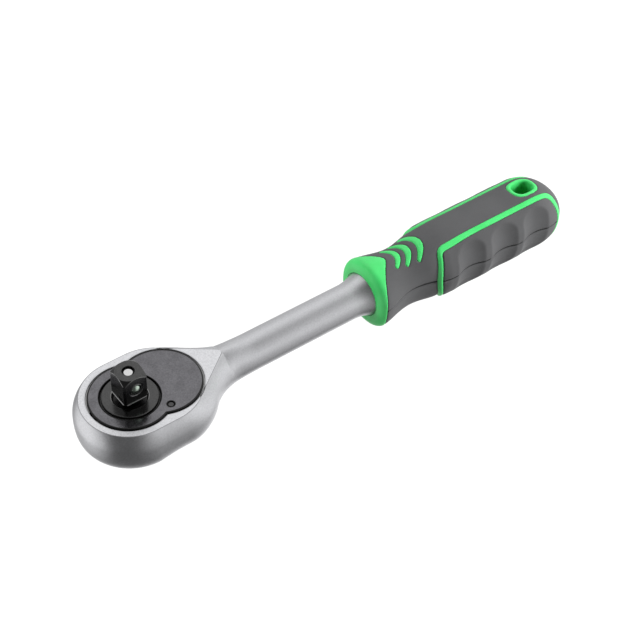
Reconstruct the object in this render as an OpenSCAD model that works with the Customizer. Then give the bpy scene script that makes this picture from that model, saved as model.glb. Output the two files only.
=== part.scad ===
// Reversible quick-release ratchet handle with a quarter-inch square drive.
// Millimetres. The origin is on the drive axis, in the plane of the head's machined face.
// +Z runs along the drive square, +X along the handle to the grip.

/* [Head] */
// Radius of the head at its widest level
head_r = 13.6; // [13.2:0.1:15]
// Radius of the machined face's front edge
face_r = 12.1; // [11.8:0.1:12.8]
// Thickness of the head
head_t = 11.4; // [11:0.1:14]
// Depth of the widest level below the machined face
waist_z = 4.8; // [4:0.1:6]
// Radius of the rounded edge round the back
back_edge = 2.2; // [1.5:0.1:3]
// Radius of the side's curve below its widest level
side_r = 16; // [14:0.5:24]
// Thickness of the wall behind the mechanism
floor_t = 3.1; // [2.8:0.1:3.4]
// Distance from the drive axis to the axis of the pawl's well
well_gap = 8.4; // [8.2:0.05:8.8]
// Radius of both wells where the cover plate lies
plate_well_r = 10.3; // [10.2:0.05:10.8]
// Width of the ledge that carries the cover plate
ledge_w = 0.75; // [0.6:0.05:0.9]

/* [Neck and shank] */
// Where the sides of the machined face would meet
face_tip = 26.5; // [26:0.1:28]
// Half angle at which the machined face tapers to its tip
face_taper = 36.3; // [36:0.1:38]
// Radius between the face's straight side and its taper
face_fillet = 12; // [8:0.5:13]
// How far the neck's sides bulge beyond the machined face
neck_lean = 2.5; // [2.3:0.1:2.8]
// Where the neck's fillet runs out into the shank
neck_end = 28.8; // [28:0.1:31]
// Radius of the fillet between neck and shank
neck_fillet = 16.4; // [16:0.2:20]
// Radius of the shank
shank_r = 4.75; // [4.5:0.05:5.2]
// Depth of the shank's axis below the machined face
shank_drop = 5.6; // [5.4:0.05:6]
// Where the shank begins to flare before the grip
flare_x = 63.5; // [60:0.5:64]
// Radius of the flare's end, inside the collar
flare_r = 5.85; // [5.6:0.05:6.2]
// Length of the flare's cylinder inside the collar
flare_seat = 3.5; // [2:0.5:5]
// Radius of the tang inside the grip
tang_r = 4.2; // [3.5:0.05:4.4]
// Where the tang ends inside the grip
tang_end = 112; // [100:1:113]
// Depth of the grooves that lock the grip on the tang
lock_depth = 0.7; // [0.4:0.1:1]
// Width of each lock groove
lock_w = 3; // [2:0.5:4]

/* [Cover plate] */
// Thickness of the cover plate
plate_t = 1.5; // [1.3:0.05:1.7]
// Height of the plate above the machined face
plate_proud = 0.2; // [0.1:0.05:0.3]
// Gap between the plate and its well
plate_gap = 0.25; // [0.15:0.05:0.35]
// Gap between the plate's hole and the drive disc
disc_gap = 0.56; // [0.5:0.02:0.7]
// Bevel round the plate's outer edge
plate_bevel = 0.25; // [0.1:0.05:0.3]
// Radial width of the snap ring that holds the plate
ring_w = 0.8; // [0.7:0.05:1]
// Thickness of the snap ring
ring_t = 0.4; // [0.3:0.05:0.5]
// Distance of the small pin in the plate behind the drive axis
cover_pin_x = 6.45; // [6:0.05:7]
// Distance of the small pin in the plate to the side
cover_pin_y = 7.4; // [7:0.05:7.6]
// Radius of the small pin in the plate
cover_pin_r = 0.62; // [0.5:0.02:0.7]

/* [Drive] */
// Width of the drive square across its flats
square_w = 6.35; // [6.3:0.01:6.4]
// Diameter of the drive square across its corners
square_diag = 8.4; // [8.2:0.05:8.6]
// Height of the drive's end above the machined face
drive_end = 8.9; // [8.6:0.1:10]
// Height at which the square begins
square_base = 1.35; // [1.2:0.05:1.5]
// Radius of the undercut below the square
undercut_r = 2.9; // [2.7:0.05:3]
// Radius of the drive disc
disc_r = 6.68; // [6.4:0.02:6.8]
// Height of the drive disc above the machined face
disc_z = 0.4; // [0.3:0.05:0.5]
// Radius of the shallow recess in the disc
recess_r = 4.45; // [4.3:0.05:5]
// Depth of the shallow recess in the disc
recess_depth = 0.3; // [0.1:0.05:0.35]
// Radius of the flat circle at the drive's end
end_circle_r = 3.2; // [3:0.05:3.4]
// Length of the cone at the drive's end
end_cone = 1; // [0.7:0.1:1.2]

/* [Ratchet wheel] */
// Number of teeth
teeth = 72; // [72:24:96]
// Radius over the teeth
wheel_r = 9.4; // [9.3:0.02:9.44]
// Depth of a tooth
tooth_h = 0.6; // [0.5:0.02:0.62]
// Gap above and below the wheel and the pawl
wheel_gap = 0.1; // [0.06:0.02:0.2]
// Radius of the journal that runs in the head's back
journal_r = 5.6; // [5.4:0.05:6]
// Depth of the journal's end inside the back face
journal_inset = 0.2; // [0.1:0.05:0.4]

/* [Quick release] */
// Radius of the detent ball
ball_r = 1.25; // [1.2:0.01:1.27]
// Height of the ball's centre above the machined face
ball_z = 5.4; // [5.2:0.05:5.6]
// How far the ball stands out of the square
ball_out = 0.5; // [0.4:0.02:0.55]
// How far the ball draws in when the button is pressed
ball_in = 0.5; // [0.45:0.01:0.5]
// Travel of the release button
push = 1.6; // [1.5:0.05:1.7]
// Radius of the release pin
pin_r = 1.15; // [1.1:0.01:1.16]
// Depth of the pin's end below the drive's end
pin_inset = 0.5; // [0.4:0.05:0.8]
// Radius of the counterbore round the pin's end
pin_mouth_r = 1.5; // [1.4:0.02:1.6]
// Radius of the pin's neck, which lets the ball in
pin_neck_r = 0.6; // [0.5:0.01:0.61]
// Radius of the button where it is pressed
button_r = 2.8; // [2.6:0.05:2.9]
// How far the button stands out of the journal
button_proud = 1.9; // [1.7:0.05:2.1]
// Width of the button's flange round its head
button_flange = 0.5; // [0.4:0.05:0.6]
// Thickness of the button's flange
flange_t = 1; // [0.8:0.05:1.2]
// Thickness of the clip that keeps the button in
clip_t = 0.35; // [0.3:0.05:0.5]
// Distance of the clip's groove inside the journal's end
clip_inset = 0.35; // [0.3:0.05:0.6]
// Length of the release spring at rest
spring_len = 3.8; // [3.6:0.1:4.2]
// Radius of the release spring's wire
spring_wire = 0.22; // [0.2:0.01:0.24]
// Turns of the release spring
spring_turns = 3.5; // [3:0.25:3.75]

/* [Pawl and lever] */
// Angle through which the pawl rocks from one hand to the other
pawl_rock = 9; // [9:0.5:10]
// Angle through which the reversing lever swings
lever_swing = 50; // [46:1:54]
// Distance of the lever's axis behind the pawl's well
lever_off = 6.95; // [6.8:0.05:7]
// Radius of the lever's shaft beside the pawl
shaft_r = 2.2; // [2:0.05:2.3]
// Radius of the lever's journal in the head's back
lever_journal_r = 2.9; // [2.7:0.05:3]
// Radius of the plunger
plunger_r = 0.8; // [0.7:0.02:0.85]
// Reach of the plunger's tip from the lever's axis
plunger_reach = 3.2; // [3.1:0.02:3.25]
// Length of the plunger
plunger_len = 2.7; // [2.5:0.05:2.8]
// Length of the plunger's spring at rest
plunger_spring_len = 1.6; // [1.5:0.05:1.7]
// Radius of the plunger spring's wire
plunger_wire = 0.1; // [0.09:0.01:0.11]
// Where the pawl's wings begin, behind the drive axis
pawl_front = 6.3; // [6:0.1:6.6]
// Where the pawl's back lies, behind the drive axis
pawl_back = 12.9; // [12.8:0.05:13]
// Depth of the pawl's relief between its two toothed ends
pawl_relief = 0.5; // [0.4:0.05:0.7]
// Radius of the lever's hub
hub_r = 4.7; // [4.2:0.1:5]
// Thickness of the lever
lever_t = 1.75; // [1.5:0.05:2]
// Length of the lever from its axis to its thumb end
lever_len = 8.2; // [7:0.1:8.5]
// Radius of the lever's thumb end
thumb_r = 2.4; // [2:0.1:2.8]
// Height of the thumb end's ridges
thumb_h = 0.6; // [0.4:0.05:0.8]
// Section radius of both O-rings
o_ring_r = 0.35; // [0.3:0.01:0.38]

/* [Grip] */
// Where the grip begins
grip_x = 68.5; // [68:0.1:69]
// Where the grip ends
grip_end = 135.4; // [134:0.1:142]
// Radius of the grip behind its waist
grip_r = 9.65; // [9.2:0.05:10.2]
// Radius of the collar
collar_r = 8.95; // [8.8:0.05:9.4]
// Radius of the collar's front lip
lip_r = 7; // [6.8:0.05:7.6]
// Length of the collar's rounded front
lip_len = 2.5; // [2:0.1:4]
// Where the grip is narrowest
grip_waist_x = 80; // [79:0.5:81]
// How much the waist is lower than the collar
waist_dip = 0.85; // [0.6:0.05:1]
// Half width of the grip at the thumb hollows
hollow_w = 6.45; // [6.2:0.05:7]
// Radius of the thumb hollows, seen from above
hollow_r = 14; // [12:0.5:16]
// Where the rear dome begins
dome_x = 122; // [121:0.5:124]
// Thickness of the soft skin
skin_t = 1.5; // [1.2:0.1:1.8]
// Where the collar's colour ends at the sides
collar_side_x = 69.3; // [69.2:0.1:70]
// How much further the collar reaches on top
collar_tongue = 6.2; // [5:0.1:6.8]
// Where the side pads begin
pad_x = 88.5; // [88:0.1:90]
// Where the side pads end
pad_end = 129; // [127.5:0.1:130]
// Distance from the middle to the side pads
pad_y = 5.5; // [5.2:0.05:6]
// Width of the stripe above and below a side pad
stripe_w = 1; // [0.8:0.05:1.3]
// Width of the stripe before and behind a side pad
stripe_end_w = 1.3; // [1.2:0.05:1.8]
// Centre of the first finger dent
dent_x = 98.3; // [97:0.1:99]
// Distance between finger dents
dent_pitch = 11.4; // [11:0.1:11.6]
// Depth of a finger dent
dent_depth = 0.8; // [0.5:0.05:1]
// Where the first chevron's tip lies
chevron_x = 79.8; // [79.4:0.1:80]
// Distance between the chevrons
chevron_pitch = 3.6; // [3.2:0.05:3.6]
// Thickness of a chevron at its tip
chevron_t = 1.8; // [1.4:0.05:2]
// Half width of the first chevron
chevron_half = 3.5; // [3:0.1:4]
// How much wider each further chevron is on each side
chevron_grow = 0.6; // [0.4:0.05:0.7]
// Centre of the hang hole
hang_x = 122; // [121.5:0.1:123]
// Length of the hang hole
hang_len = 6.4; // [6.2:0.1:7]
// Width of the hang hole
hang_w = 4.8; // [4.7:0.05:5.2]
// Corner radius of the hang hole
hang_corner = 2; // [1.6:0.05:2]
// Width of the coloured rim round the hang hole
hang_rim = 0.85; // [0.6:0.05:1]

/* [Clearances] */
// Radial clearance of a running fit
run = 0.05; // [0.03:0.01:0.06]
// Gap between fixed pieces that are moulded or pressed together
seat = 0.02; // [0.01:0.01:0.03]

/* [Hidden] */
$fn = 96;
over = 1;                 // how far a cutter runs past the face it opens

// Levels of the head's mechanism
floor_z = -head_t + floor_t;
plate_z = plate_proud - plate_t;
wheel_z = floor_z + wheel_gap;
wheel_t = plate_z - floor_z - 2 * wheel_gap;
well_r = plate_well_r - ledge_w;
plate_r = plate_well_r - plate_gap;
journal_z = -head_t + journal_inset;
ring_z = plate_z + (plate_t - plate_proud - ring_t) / 2;
ring_out_r = plate_r + ring_w * 0.6;

// Axes
shank_z = -shank_drop;
lever_x = well_gap + lever_off;
pawl_side = -1;           // the side of the wing that is in mesh at rest

// Quick release: the ball's ramp has the slope that draws it in at an even rate
ball_y = square_w / 2 + ball_out - ball_r;
ramp = ball_in / push;
ramp_r = ball_y - (ball_r + run / 2) * sqrt(1 + ramp * ramp);
ramp_low = ball_z - (ramp_r - pin_neck_r) / ramp;
neck_low = ball_z - push - ball_r;
flange_low = journal_z + clip_inset + clip_t + run;
flange_top = flange_low + flange_t;
spring_top = flange_top + spring_len;
button_bore_r = button_r + button_flange + run;
clip_out_r = button_bore_r + 0.4;

// Pawl notch: one round pocket that clears the plunger's ball end at both hands
mesh_gap = 2 * run;
tip_reach = plunger_reach - plunger_r;
tip_turn = lever_swing / 2;
tip_x = lever_x - tip_reach * cos(tip_turn);
tip_side = tip_reach * sin(tip_turn) - (tip_x - well_gap) * sin(pawl_rock / 2);
notch_x = lever_x - 1.65;
notch_r = norm([notch_x - tip_x, tip_side]) + plunger_r + mesh_gap;
plunger_end = plunger_len - plunger_reach;
plunger_hole_end = plunger_end + plunger_spring_len + seat;
pawl_teeth_y = 4.7;       // the toothed ends start this far from the middle
lever_z = -head_t - 0.15;
lever_ring_z = floor_z - 0.95;
lever_o_z = floor_z - 2.2;
lever_groove_r = lever_journal_r - 0.4;

// Neck: the machined face's corner is eased by a second, flatter side that touches its fillet
lean_r = (shank_drop * shank_drop + neck_lean * neck_lean) / (2 * neck_lean);
corner_x = face_tip - face_r / tan(face_taper);
fillet_x = corner_x - face_fillet * tan(face_taper / 2);
ease_x = fillet_x + face_fillet * sin(face_taper / 2);
ease_y = face_r - face_fillet + face_fillet * cos(face_taper / 2);
ease_tip = ease_x + ease_y / tan(face_taper / 2);
neck_from = neck_end - 8.8;

function smooth(t) = let (u = max(0, min(1, t))) u * u * (3 - 2 * u);
function mix(a, b, t) = a + (b - a) * t;

// A skin through equal rings of points, closed at both ends
module loft(rings) {
  n = len(rings[0]);
  last = len(rings) - 1;
  points = [for (ring = rings) each ring];
  sides = [for (i = [0 : last - 1], j = [0 : n - 1])
    let (k = (j + 1) % n)
    each [[i * n + j, (i + 1) * n + j, (i + 1) * n + k], [i * n + j, (i + 1) * n + k, i * n + k]]];
  caps = [[for (j = [0 : n - 1]) j], [for (j = [n - 1 : -1 : 0]) last * n + j]];
  polyhedron(points = points, faces = concat(sides, caps));
}

// Turns a profile of [radius, distance along X] about an axis at height z
module turned_x(profile, z) {
  translate([0, 0, z]) rotate([0, 90, 0]) rotate_extrude() polygon(profile);
}

module ring(outer, inner, z, h) {
  translate([0, 0, z]) difference() {
    cylinder(r = outer, h = h);
    translate([0, 0, -over]) cylinder(r = inner, h = h + 2 * over);
  }
}

module o_ring(centre_r, z) {
  translate([0, 0, z]) rotate_extrude() translate([centre_r, 0]) circle(r = o_ring_r, $fn = 32);
}

// The shape of both wells together, seen from above
module two_wells(r, z, h) {
  for (x = [0, well_gap]) translate([x, 0, z]) cylinder(r = r, h = h);
}

module at_lever() {
  translate([lever_x, 0, 0]) rotate(lever_swing / 2) children();
}

module about_well(angle) {
  translate([well_gap, 0, 0]) rotate(angle) translate([-well_gap, 0, 0]) children();
}

// A coil along +Z, as one tube of six sides with eight rings to a turn
module coil(mean_r, wire_r, length, turns) {
  steps = round(8 * turns);
  rise = length - 2 * wire_r;
  gap = rise / turns - 2 * wire_r;
  echo(least_gap_between_turns = gap);
  rings = [for (i = [0 : steps])
    let (a = 360 * turns * i / steps, z = wire_r + rise * i / steps)
    [for (k = [0 : 5]) let (b = -60 * k)
      [(mean_r + wire_r * cos(b)) * cos(a), (mean_r + wire_r * cos(b)) * sin(a), z + wire_r * sin(b)]]];
  loft(rings);
}

// Half of the head's section: distance from the axis, and height
module head_section() {
  rim = head_r - face_r;
  upper_r = (rim * rim + waist_z * waist_z) / (2 * rim);
  drop = head_t - waist_z - back_edge;
  edge_x = head_r - side_r + sqrt(pow(side_r - back_edge, 2) - drop * drop);
  touch_z = -waist_z - side_r * drop / (side_r - back_edge);
  intersection() {
    translate([head_r - upper_r, -waist_z]) circle(r = upper_r);
    translate([0, -waist_z]) square([head_r, waist_z]);
  }
  intersection() {
    translate([head_r - side_r, -waist_z]) circle(r = side_r);
    translate([0, touch_z]) square([head_r, -waist_z - touch_z]);
  }
  translate([edge_x, back_edge - head_t]) circle(r = back_edge);
  translate([0, -head_t]) square([edge_x, head_t + touch_z]);
}

// Everything inside one rounded side that runs at an angle and meets the middle at tip
module neck_side(side, angle, tip) {
  mirror([0, side < 0 ? 1 : 0, 0]) translate([tip, 0, 0]) rotate(-angle) translate([-90, 0, 0])
    rotate([90, 0, 90]) linear_extrude(120) {
      translate([neck_lean - lean_r, shank_z]) circle(r = lean_r);
      translate([-90, shank_z - lean_r]) square([90 + neck_lean - lean_r, 2 * lean_r]);
    }
}

module head() {
  intersection() {
    union() {
      rotate(90) rotate_extrude(angle = 180) head_section();
      rotate([90, 0, 90]) linear_extrude(well_gap) {
        head_section();
        mirror([1, 0]) head_section();
      }
      translate([well_gap, 0, 0]) rotate(-90) rotate_extrude(angle = 180) head_section();
      translate([well_gap + 7.6, -face_r, -head_t]) cube([12.4, 2 * face_r, head_t]);
    }
    neck_side(1, face_taper, face_tip);
    neck_side(-1, face_taper, face_tip);
    neck_side(1, face_taper / 2, ease_tip);
    neck_side(-1, face_taper / 2, ease_tip);
  }
}

// Fillet from the neck into the shank, cut level with the machined face and the back
module neck() {
  intersection() {
    translate([0, 0, shank_z]) rotate([0, 90, 0]) rotate_extrude() difference() {
      translate([0, neck_from]) square([neck_fillet, neck_end - neck_from]);
      translate([shank_r + neck_fillet, neck_end]) circle(r = neck_fillet);
    }
    translate([neck_from - over, -head_r, -head_t]) cube([neck_end, 2 * head_r, head_t]);
  }
}

module ratchet_body() {
  collar_in = grip_x + run;
  flare = [for (i = [0 : 8]) let (t = i / 8)
    [shank_r + (flare_r - shank_r) * t * t, mix(flare_x, collar_in, t)]];
  color("silver") difference() {
    union() {
      head();
      neck();
      turned_x(concat(
        [[0, neck_from + 4], [shank_r, neck_from + 4]],
        flare,
        [[flare_r, collar_in + flare_seat], [tang_r, collar_in + flare_seat], [tang_r, tang_end], [0, tang_end]]
      ), shank_z);
    }
    two_wells(plate_well_r, plate_z, over - plate_z);
    two_wells(well_r, floor_z, plate_z - floor_z + over / 10);
    two_wells(ring_out_r + run, ring_z - run, ring_t + 2 * run);
    translate([0, 0, -head_t - over]) cylinder(r = journal_r + run, h = floor_t + 2 * over);
    translate([lever_x, 0, -head_t - over]) cylinder(r = lever_journal_r + run, h = floor_t + over + run);
    translate([lever_x, 0, lever_ring_z - run]) cylinder(r = lever_groove_r + 0.75 + run, h = ring_t + 2 * run);
    for (x = [80 : 10 : 105])
      turned_x([[tang_r - lock_depth, x], [tang_r + over, x], [tang_r + over, x + lock_w], [tang_r - lock_depth, x + lock_w]], shank_z);
  }
}

module cover_plate() {
  top = plate_z + plate_t;
  color("dimgray") difference() {
    for (x = [0, well_gap])
      translate([x, 0, 0]) rotate_extrude() polygon([
        [0, plate_z], [plate_r, plate_z], [plate_r, top - plate_bevel], [plate_r - plate_bevel, top], [0, top]
      ]);
    translate([0, 0, plate_z - over]) cylinder(r = disc_r + disc_gap, h = plate_t + 2 * over);
    translate([cover_pin_x, -cover_pin_y, plate_z - over])
      cylinder(r = cover_pin_r + 0.25, h = plate_t + 2 * over, $fn = 48);
    translate([lever_x, 0, plate_z - over]) cylinder(r = shaft_r + run, h = over + plate_t / 3);
    difference() {
      two_wells(plate_r + over, ring_z - run, ring_t + 2 * run);
      two_wells(ring_out_r - ring_w - run, ring_z - over, ring_t + 2 * over);
    }
  }
}

module plate_snap_ring() {
  color("darkgray") difference() {
    two_wells(ring_out_r, ring_z, ring_t);
    two_wells(ring_out_r - ring_w, ring_z - over, ring_t + 2 * over);
    translate([-plate_well_r - over, -1.5, ring_z - over]) cube([3, 3, ring_t + 2 * over]);
  }
}

module cover_pin() {
  color("gray") translate([cover_pin_x, -cover_pin_y, plate_z]) {
    cylinder(r = cover_pin_r, h = plate_t - 0.15, $fn = 48);
    cylinder(r = cover_pin_r + 0.25 - seat, h = plate_t / 3, $fn = 48);
  }
}

// Outline of the toothed wheel, grown outwards for the pawl's matching teeth
module wheel_outline(grow) {
  step = 360 / teeth;
  polygon([for (i = [0 : teeth - 1]) each [
    for (corner = [[-0.42, 0], [-0.09, 1], [0.09, 1], [0.42, 0]])
      let (r = wheel_r + grow - tooth_h * (1 - corner[1]), a = step * (i + corner[0]))
      [r * cos(a), r * sin(a)]
  ]]);
}

module drive_square() {
  intersection() {
    translate([-square_w / 2, -square_w / 2, square_base]) cube([square_w, square_w, drive_end - square_base]);
    rotate_extrude() polygon([
      [0, square_base], [square_diag / 2 - 0.3, square_base], [square_diag / 2, square_base + 0.3],
      [square_diag / 2, drive_end - end_cone], [end_circle_r, drive_end], [0, drive_end]
    ]);
  }
}

module drive_gear() {
  ball_bore_r = ball_r + run / 2;
  groove_r = disc_r + disc_gap - run - 2 * o_ring_r - seat;
  color("black") difference() {
    union() {
      translate([0, 0, wheel_z]) linear_extrude(wheel_t) wheel_outline(0);
      translate([0, 0, journal_z]) cylinder(r = journal_r, h = wheel_z - journal_z + over);
      rotate_extrude() polygon([
        [0, floor_z + 2], [disc_r, floor_z + 2], [disc_r, disc_z - 0.2], [disc_r - 0.2, disc_z],
        [recess_r, disc_z], [recess_r, disc_z - recess_depth], [undercut_r, disc_z - recess_depth],
        [undercut_r, square_base + 0.2], [0, square_base + 0.2]
      ]);
      drive_square();
    }
    ring(disc_r + over, groove_r, plate_z + 0.25, 2 * o_ring_r + 0.1);
    translate([0, 0, spring_top - over]) cylinder(r = pin_r + run, h = drive_end - spring_top + 2 * over);
    translate([0, 0, drive_end - pin_inset - 0.7]) cylinder(r = pin_mouth_r, h = pin_inset + 0.7 + over);
    translate([0, 0, journal_z - over]) cylinder(r = button_bore_r, h = spring_top - journal_z + over);
    translate([0, 0, journal_z + clip_inset]) cylinder(r = clip_out_r + run, h = clip_t);
    translate([0, -ball_y, ball_z]) sphere(r = ball_bore_r, $fn = 64);
    translate([0, 0, ball_z]) rotate([90, 0, 0]) cylinder(r = ball_bore_r, h = ball_y, $fn = 64);
    translate([0, -square_w / 2 + 0.15, ball_z]) rotate([90, 0, 0]) ring(ball_r + 0.5, ball_r + 0.15, 0, over);
  }
}

module drive_o_ring() {
  color("black") o_ring(disc_r + disc_gap - run - o_ring_r, plate_z + 0.3 + o_ring_r);
}

module detent_ball() {
  color("silver") translate([0, -ball_y, ball_z]) sphere(r = ball_r, $fn = 64);
}

module release_pin() {
  top = drive_end - pin_inset;
  color("silver") rotate_extrude() polygon([
    [0, flange_low - 0.8], [pin_r, flange_low - 0.8],
    [pin_r, neck_low - (pin_r - pin_neck_r)], [pin_neck_r, neck_low],
    [pin_neck_r, ramp_low], [pin_r, ball_z + (pin_r - ramp_r) / ramp],
    [pin_r, top - 0.12], [pin_r - 0.12, top], [0, top]
  ]);
}

module release_button() {
  face = journal_z - button_proud;
  color("gainsboro") difference() {
    rotate_extrude() polygon([
      [0, face], [button_r - 0.3, face], [button_r, face + 0.3], [button_r, flange_low],
      [button_r + button_flange, flange_low], [button_r + button_flange, flange_top], [0, flange_top]
    ]);
    translate([0, 0, flange_low - 0.8 - seat]) cylinder(r = pin_r + seat, h = flange_t + 0.8 + over);
    translate([0, 0, face - 14.7]) sphere(r = 15, $fn = 96);
  }
}

module release_spring() {
  color("silver") translate([0, 0, flange_top + seat])
    coil(button_r - 2.2 * spring_wire, spring_wire, spring_len - 2 * seat, spring_turns);
}

module button_clip() {
  color("dimgray") difference() {
    ring(clip_out_r, button_r + run, journal_z + clip_inset + seat, clip_t - 2 * seat);
    translate([0, -1.2, journal_z]) cube([clip_out_r + over, 2.4, clip_inset + 2 * clip_t]);
  }
}

module pawl() {
  outer = well_r - run;
  color("slategray") about_well(pawl_side * pawl_rock / 2) difference() {
    intersection() {
      translate([well_gap, 0, wheel_z]) cylinder(r = outer, h = wheel_t);
      translate([pawl_front, -outer, wheel_z]) cube([pawl_back - pawl_front, 2 * outer, wheel_t]);
    }
    intersection() {
      translate([0, 0, wheel_z - over]) cylinder(r = wheel_r + pawl_relief, h = wheel_t + 2 * over);
      translate([0, -pawl_teeth_y, wheel_z - over]) cube([2 * wheel_r, 2 * pawl_teeth_y, wheel_t + 2 * over]);
    }
    for (side = [-1, 1]) intersection() {
      translate([0, side > 0 ? 0 : -2 * wheel_r, wheel_z - over]) cube([2 * wheel_r, 2 * wheel_r, wheel_t + 2 * over]);
      about_well(-side * pawl_rock / 2) translate([0, 0, wheel_z - over / 2])
        linear_extrude(wheel_t + over) wheel_outline(mesh_gap);
    }
    translate([notch_x, 0, wheel_z - over]) cylinder(r = notch_r, h = wheel_t + 2 * over);
  }
}

// A disc joined to a smaller one by their common tangents, thick along Z
module teardrop(r1, r2, d, h) {
  tilt = acos((r1 - r2) / d);
  cylinder(r = r1, h = h);
  translate([d, 0, 0]) cylinder(r = r2, h = h);
  linear_extrude(h) polygon([
    [r1 * cos(tilt), r1 * sin(tilt)], [r1 * cos(tilt), -r1 * sin(tilt)],
    [d + r2 * cos(tilt), -r2 * sin(tilt)], [d + r2 * cos(tilt), r2 * sin(tilt)]
  ]);
}

module reversing_lever() {
  shaft_top = plate_z + plate_t / 3 - wheel_gap;
  plunger_z = wheel_z + wheel_t / 2;
  color("black") at_lever() difference() {
    union() {
      translate([0, 0, lever_z - lever_t]) teardrop(hub_r, thumb_r, lever_len, lever_t);
      translate([0, 0, lever_z - over]) cylinder(r = lever_journal_r, h = floor_z - lever_z + over - run);
      translate([0, 0, floor_z - over]) cylinder(r = shaft_r, h = shaft_top - floor_z + over);
      for (i = [-1 : 1])
        translate([lever_len - 0.4 + 1.4 * i, -1.6, lever_z - lever_t - thumb_h]) cube([0.7, 3.2, thumb_h + over / 2]);
    }
    ring(lever_journal_r + over, lever_groove_r, lever_ring_z - run, ring_t + 2 * run);
    ring(lever_journal_r + over, lever_journal_r - 2 * o_ring_r - seat, lever_o_z - o_ring_r - run, 2 * o_ring_r + 2 * run);
    translate([-2 * shaft_r, 0, plunger_z]) rotate([0, 90, 0])
      cylinder(r = plunger_r + run, h = 2 * shaft_r + plunger_hole_end, $fn = 48);
  }
}

module lever_plunger() {
  color("silver") at_lever() translate([-tip_reach, 0, wheel_z + wheel_t / 2]) {
    sphere(r = plunger_r, $fn = 48);
    rotate([0, 90, 0]) cylinder(r = plunger_r, h = plunger_len - plunger_r, $fn = 48);
  }
}

module plunger_spring() {
  color("silver") at_lever() translate([plunger_end + seat, 0, wheel_z + wheel_t / 2]) rotate([0, 90, 0])
    coil(plunger_r - 2.2 * plunger_wire, plunger_wire, plunger_spring_len - seat, 2.25);
}

module lever_snap_ring() {
  color("dimgray") translate([lever_x, 0, 0]) difference() {
    ring(lever_groove_r + 0.75, lever_groove_r + run, lever_ring_z, ring_t);
    translate([0, -0.8, lever_ring_z - over]) cube([lever_journal_r + over, 1.6, ring_t + 2 * over]);
  }
}

module lever_o_ring() {
  color("black") translate([lever_x, 0, 0]) o_ring(lever_journal_r - o_ring_r, lever_o_z);
}

// Radius of the grip along X, without its lip and dome
function grip_body_r(x) =
  mix(collar_r, grip_r, smooth((x - grip_waist_x) / 15))
  - waist_dip * exp(-pow((x - grip_waist_x) / 5.5, 2));

// The grip's whole outer form, drawn in by an inset all over its sides
module grip_form(inset) {
  lip = [for (a = [0 : 15 : 90])
    [mix(lip_r, grip_body_r(grip_x + lip_len), sin(a)) - inset, grip_x + lip_len * (1 - cos(a))]];
  sides = [for (x = [grip_x + lip_len + 2 : 2.5 : dome_x - 1]) [grip_body_r(x) - inset, x]];
  dome = [for (a = [0 : 7.5 : 90])
    [(grip_r - inset) * cos(a), dome_x + (grip_end - dome_x - inset) * sin(a)]];
  difference() {
    turned_x(concat([[0, grip_x]], lip, sides, dome), shank_z);
    for (side = [-1, 1]) {
      translate([grip_waist_x + 0.8, side * (hollow_w + hollow_r), shank_z - 2 * grip_r])
        cylinder(r = hollow_r + inset, h = 4 * grip_r);
      for (i = [0 : 2])
        finger_dent(side, dent_x + dent_pitch * i, inset);
    }
  }
}

// A cutter that wraps round the side of the grip, deepest at the middle
module finger_dent(side, x, inset) {
  wrap_r = 14;
  tube_r = 10;
  translate([x, side * (grip_r - dent_depth - wrap_r), shank_z]) rotate([0, 90, 0])
    rotate(side * 90 - 50) rotate_extrude(angle = 100) translate([wrap_r + tube_r, 0]) circle(r = tube_r + inset);
}

// A rectangle with round corners, seen from above, from z down to the grip's underside and past it
module soft_block(x0, x1, y0, y1, corner) {
  translate([0, 0, shank_z - 2 * grip_r]) linear_extrude(4 * grip_r) {
    translate([x0 + corner, y0]) square([x1 - x0 - 2 * corner, y1 - y0]);
    translate([x0, y0 + corner]) square([x1 - x0, y1 - y0 - 2 * corner]);
    for (x = [x0 + corner, x1 - corner], y = [y0 + corner, y1 - corner])
      translate([x, y]) circle(r = corner, $fn = 48);
  }
}

module pad_window(side, grow_x, grow_y) {
  y0 = pad_y - grow_y;
  mirror([0, side < 0 ? 1 : 0, 0])
    soft_block(pad_x - grow_x, pad_end + grow_x, y0, y0 + 2 * grip_r, 1.5);
}

module hang_block(grow, corner) {
  soft_block(hang_x - hang_len / 2 - grow, hang_x + hang_len / 2 + grow, -hang_w / 2 - grow, hang_w / 2 + grow, corner);
}

// Rounded chevron open to the front, on the top of the grip
module chevron(tip, half) {
  bend = 2.6;
  ys = [for (i = [-8 : 8]) half * i / 8];
  function back(y) = 1.1 * (sqrt(bend * bend + y * y) - bend);
  function thick(y) = mix(chevron_t, 0.8, pow(abs(y) / half, 2));
  translate([0, 0, shank_z + collar_r / 2]) linear_extrude(2 * grip_r) polygon(concat(
    [for (y = ys) [tip - back(y), y]],
    [for (i = [8 : -1 : -8]) let (y = half * i / 8) [tip - back(y) - thick(y), y]]
  ));
}

// Everything of the outer skin that shows the core's colour
module core_zones() {
  reach = grip_r + over;
  translate([0, 0, shank_z - 2 * grip_r]) linear_extrude(4 * grip_r) polygon(concat(
    [[grip_x - over, reach], [grip_x - over, -reach]],
    [for (i = [-10 : 10]) let (y = reach * i / 10, s = max(0, 1 - pow(y / collar_r, 2)))
      [collar_side_x + collar_tongue * s * s, y]]
  ));
  for (side = [-1, 1]) difference() {
    pad_window(side, stripe_end_w, stripe_w);
    pad_window(side, 0, 0);
  }
  for (i = [0 : 2]) chevron(chevron_x + chevron_pitch * i, chevron_half + chevron_grow * i);
  hang_block(hang_rim, hang_corner + hang_rim);
}

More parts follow.
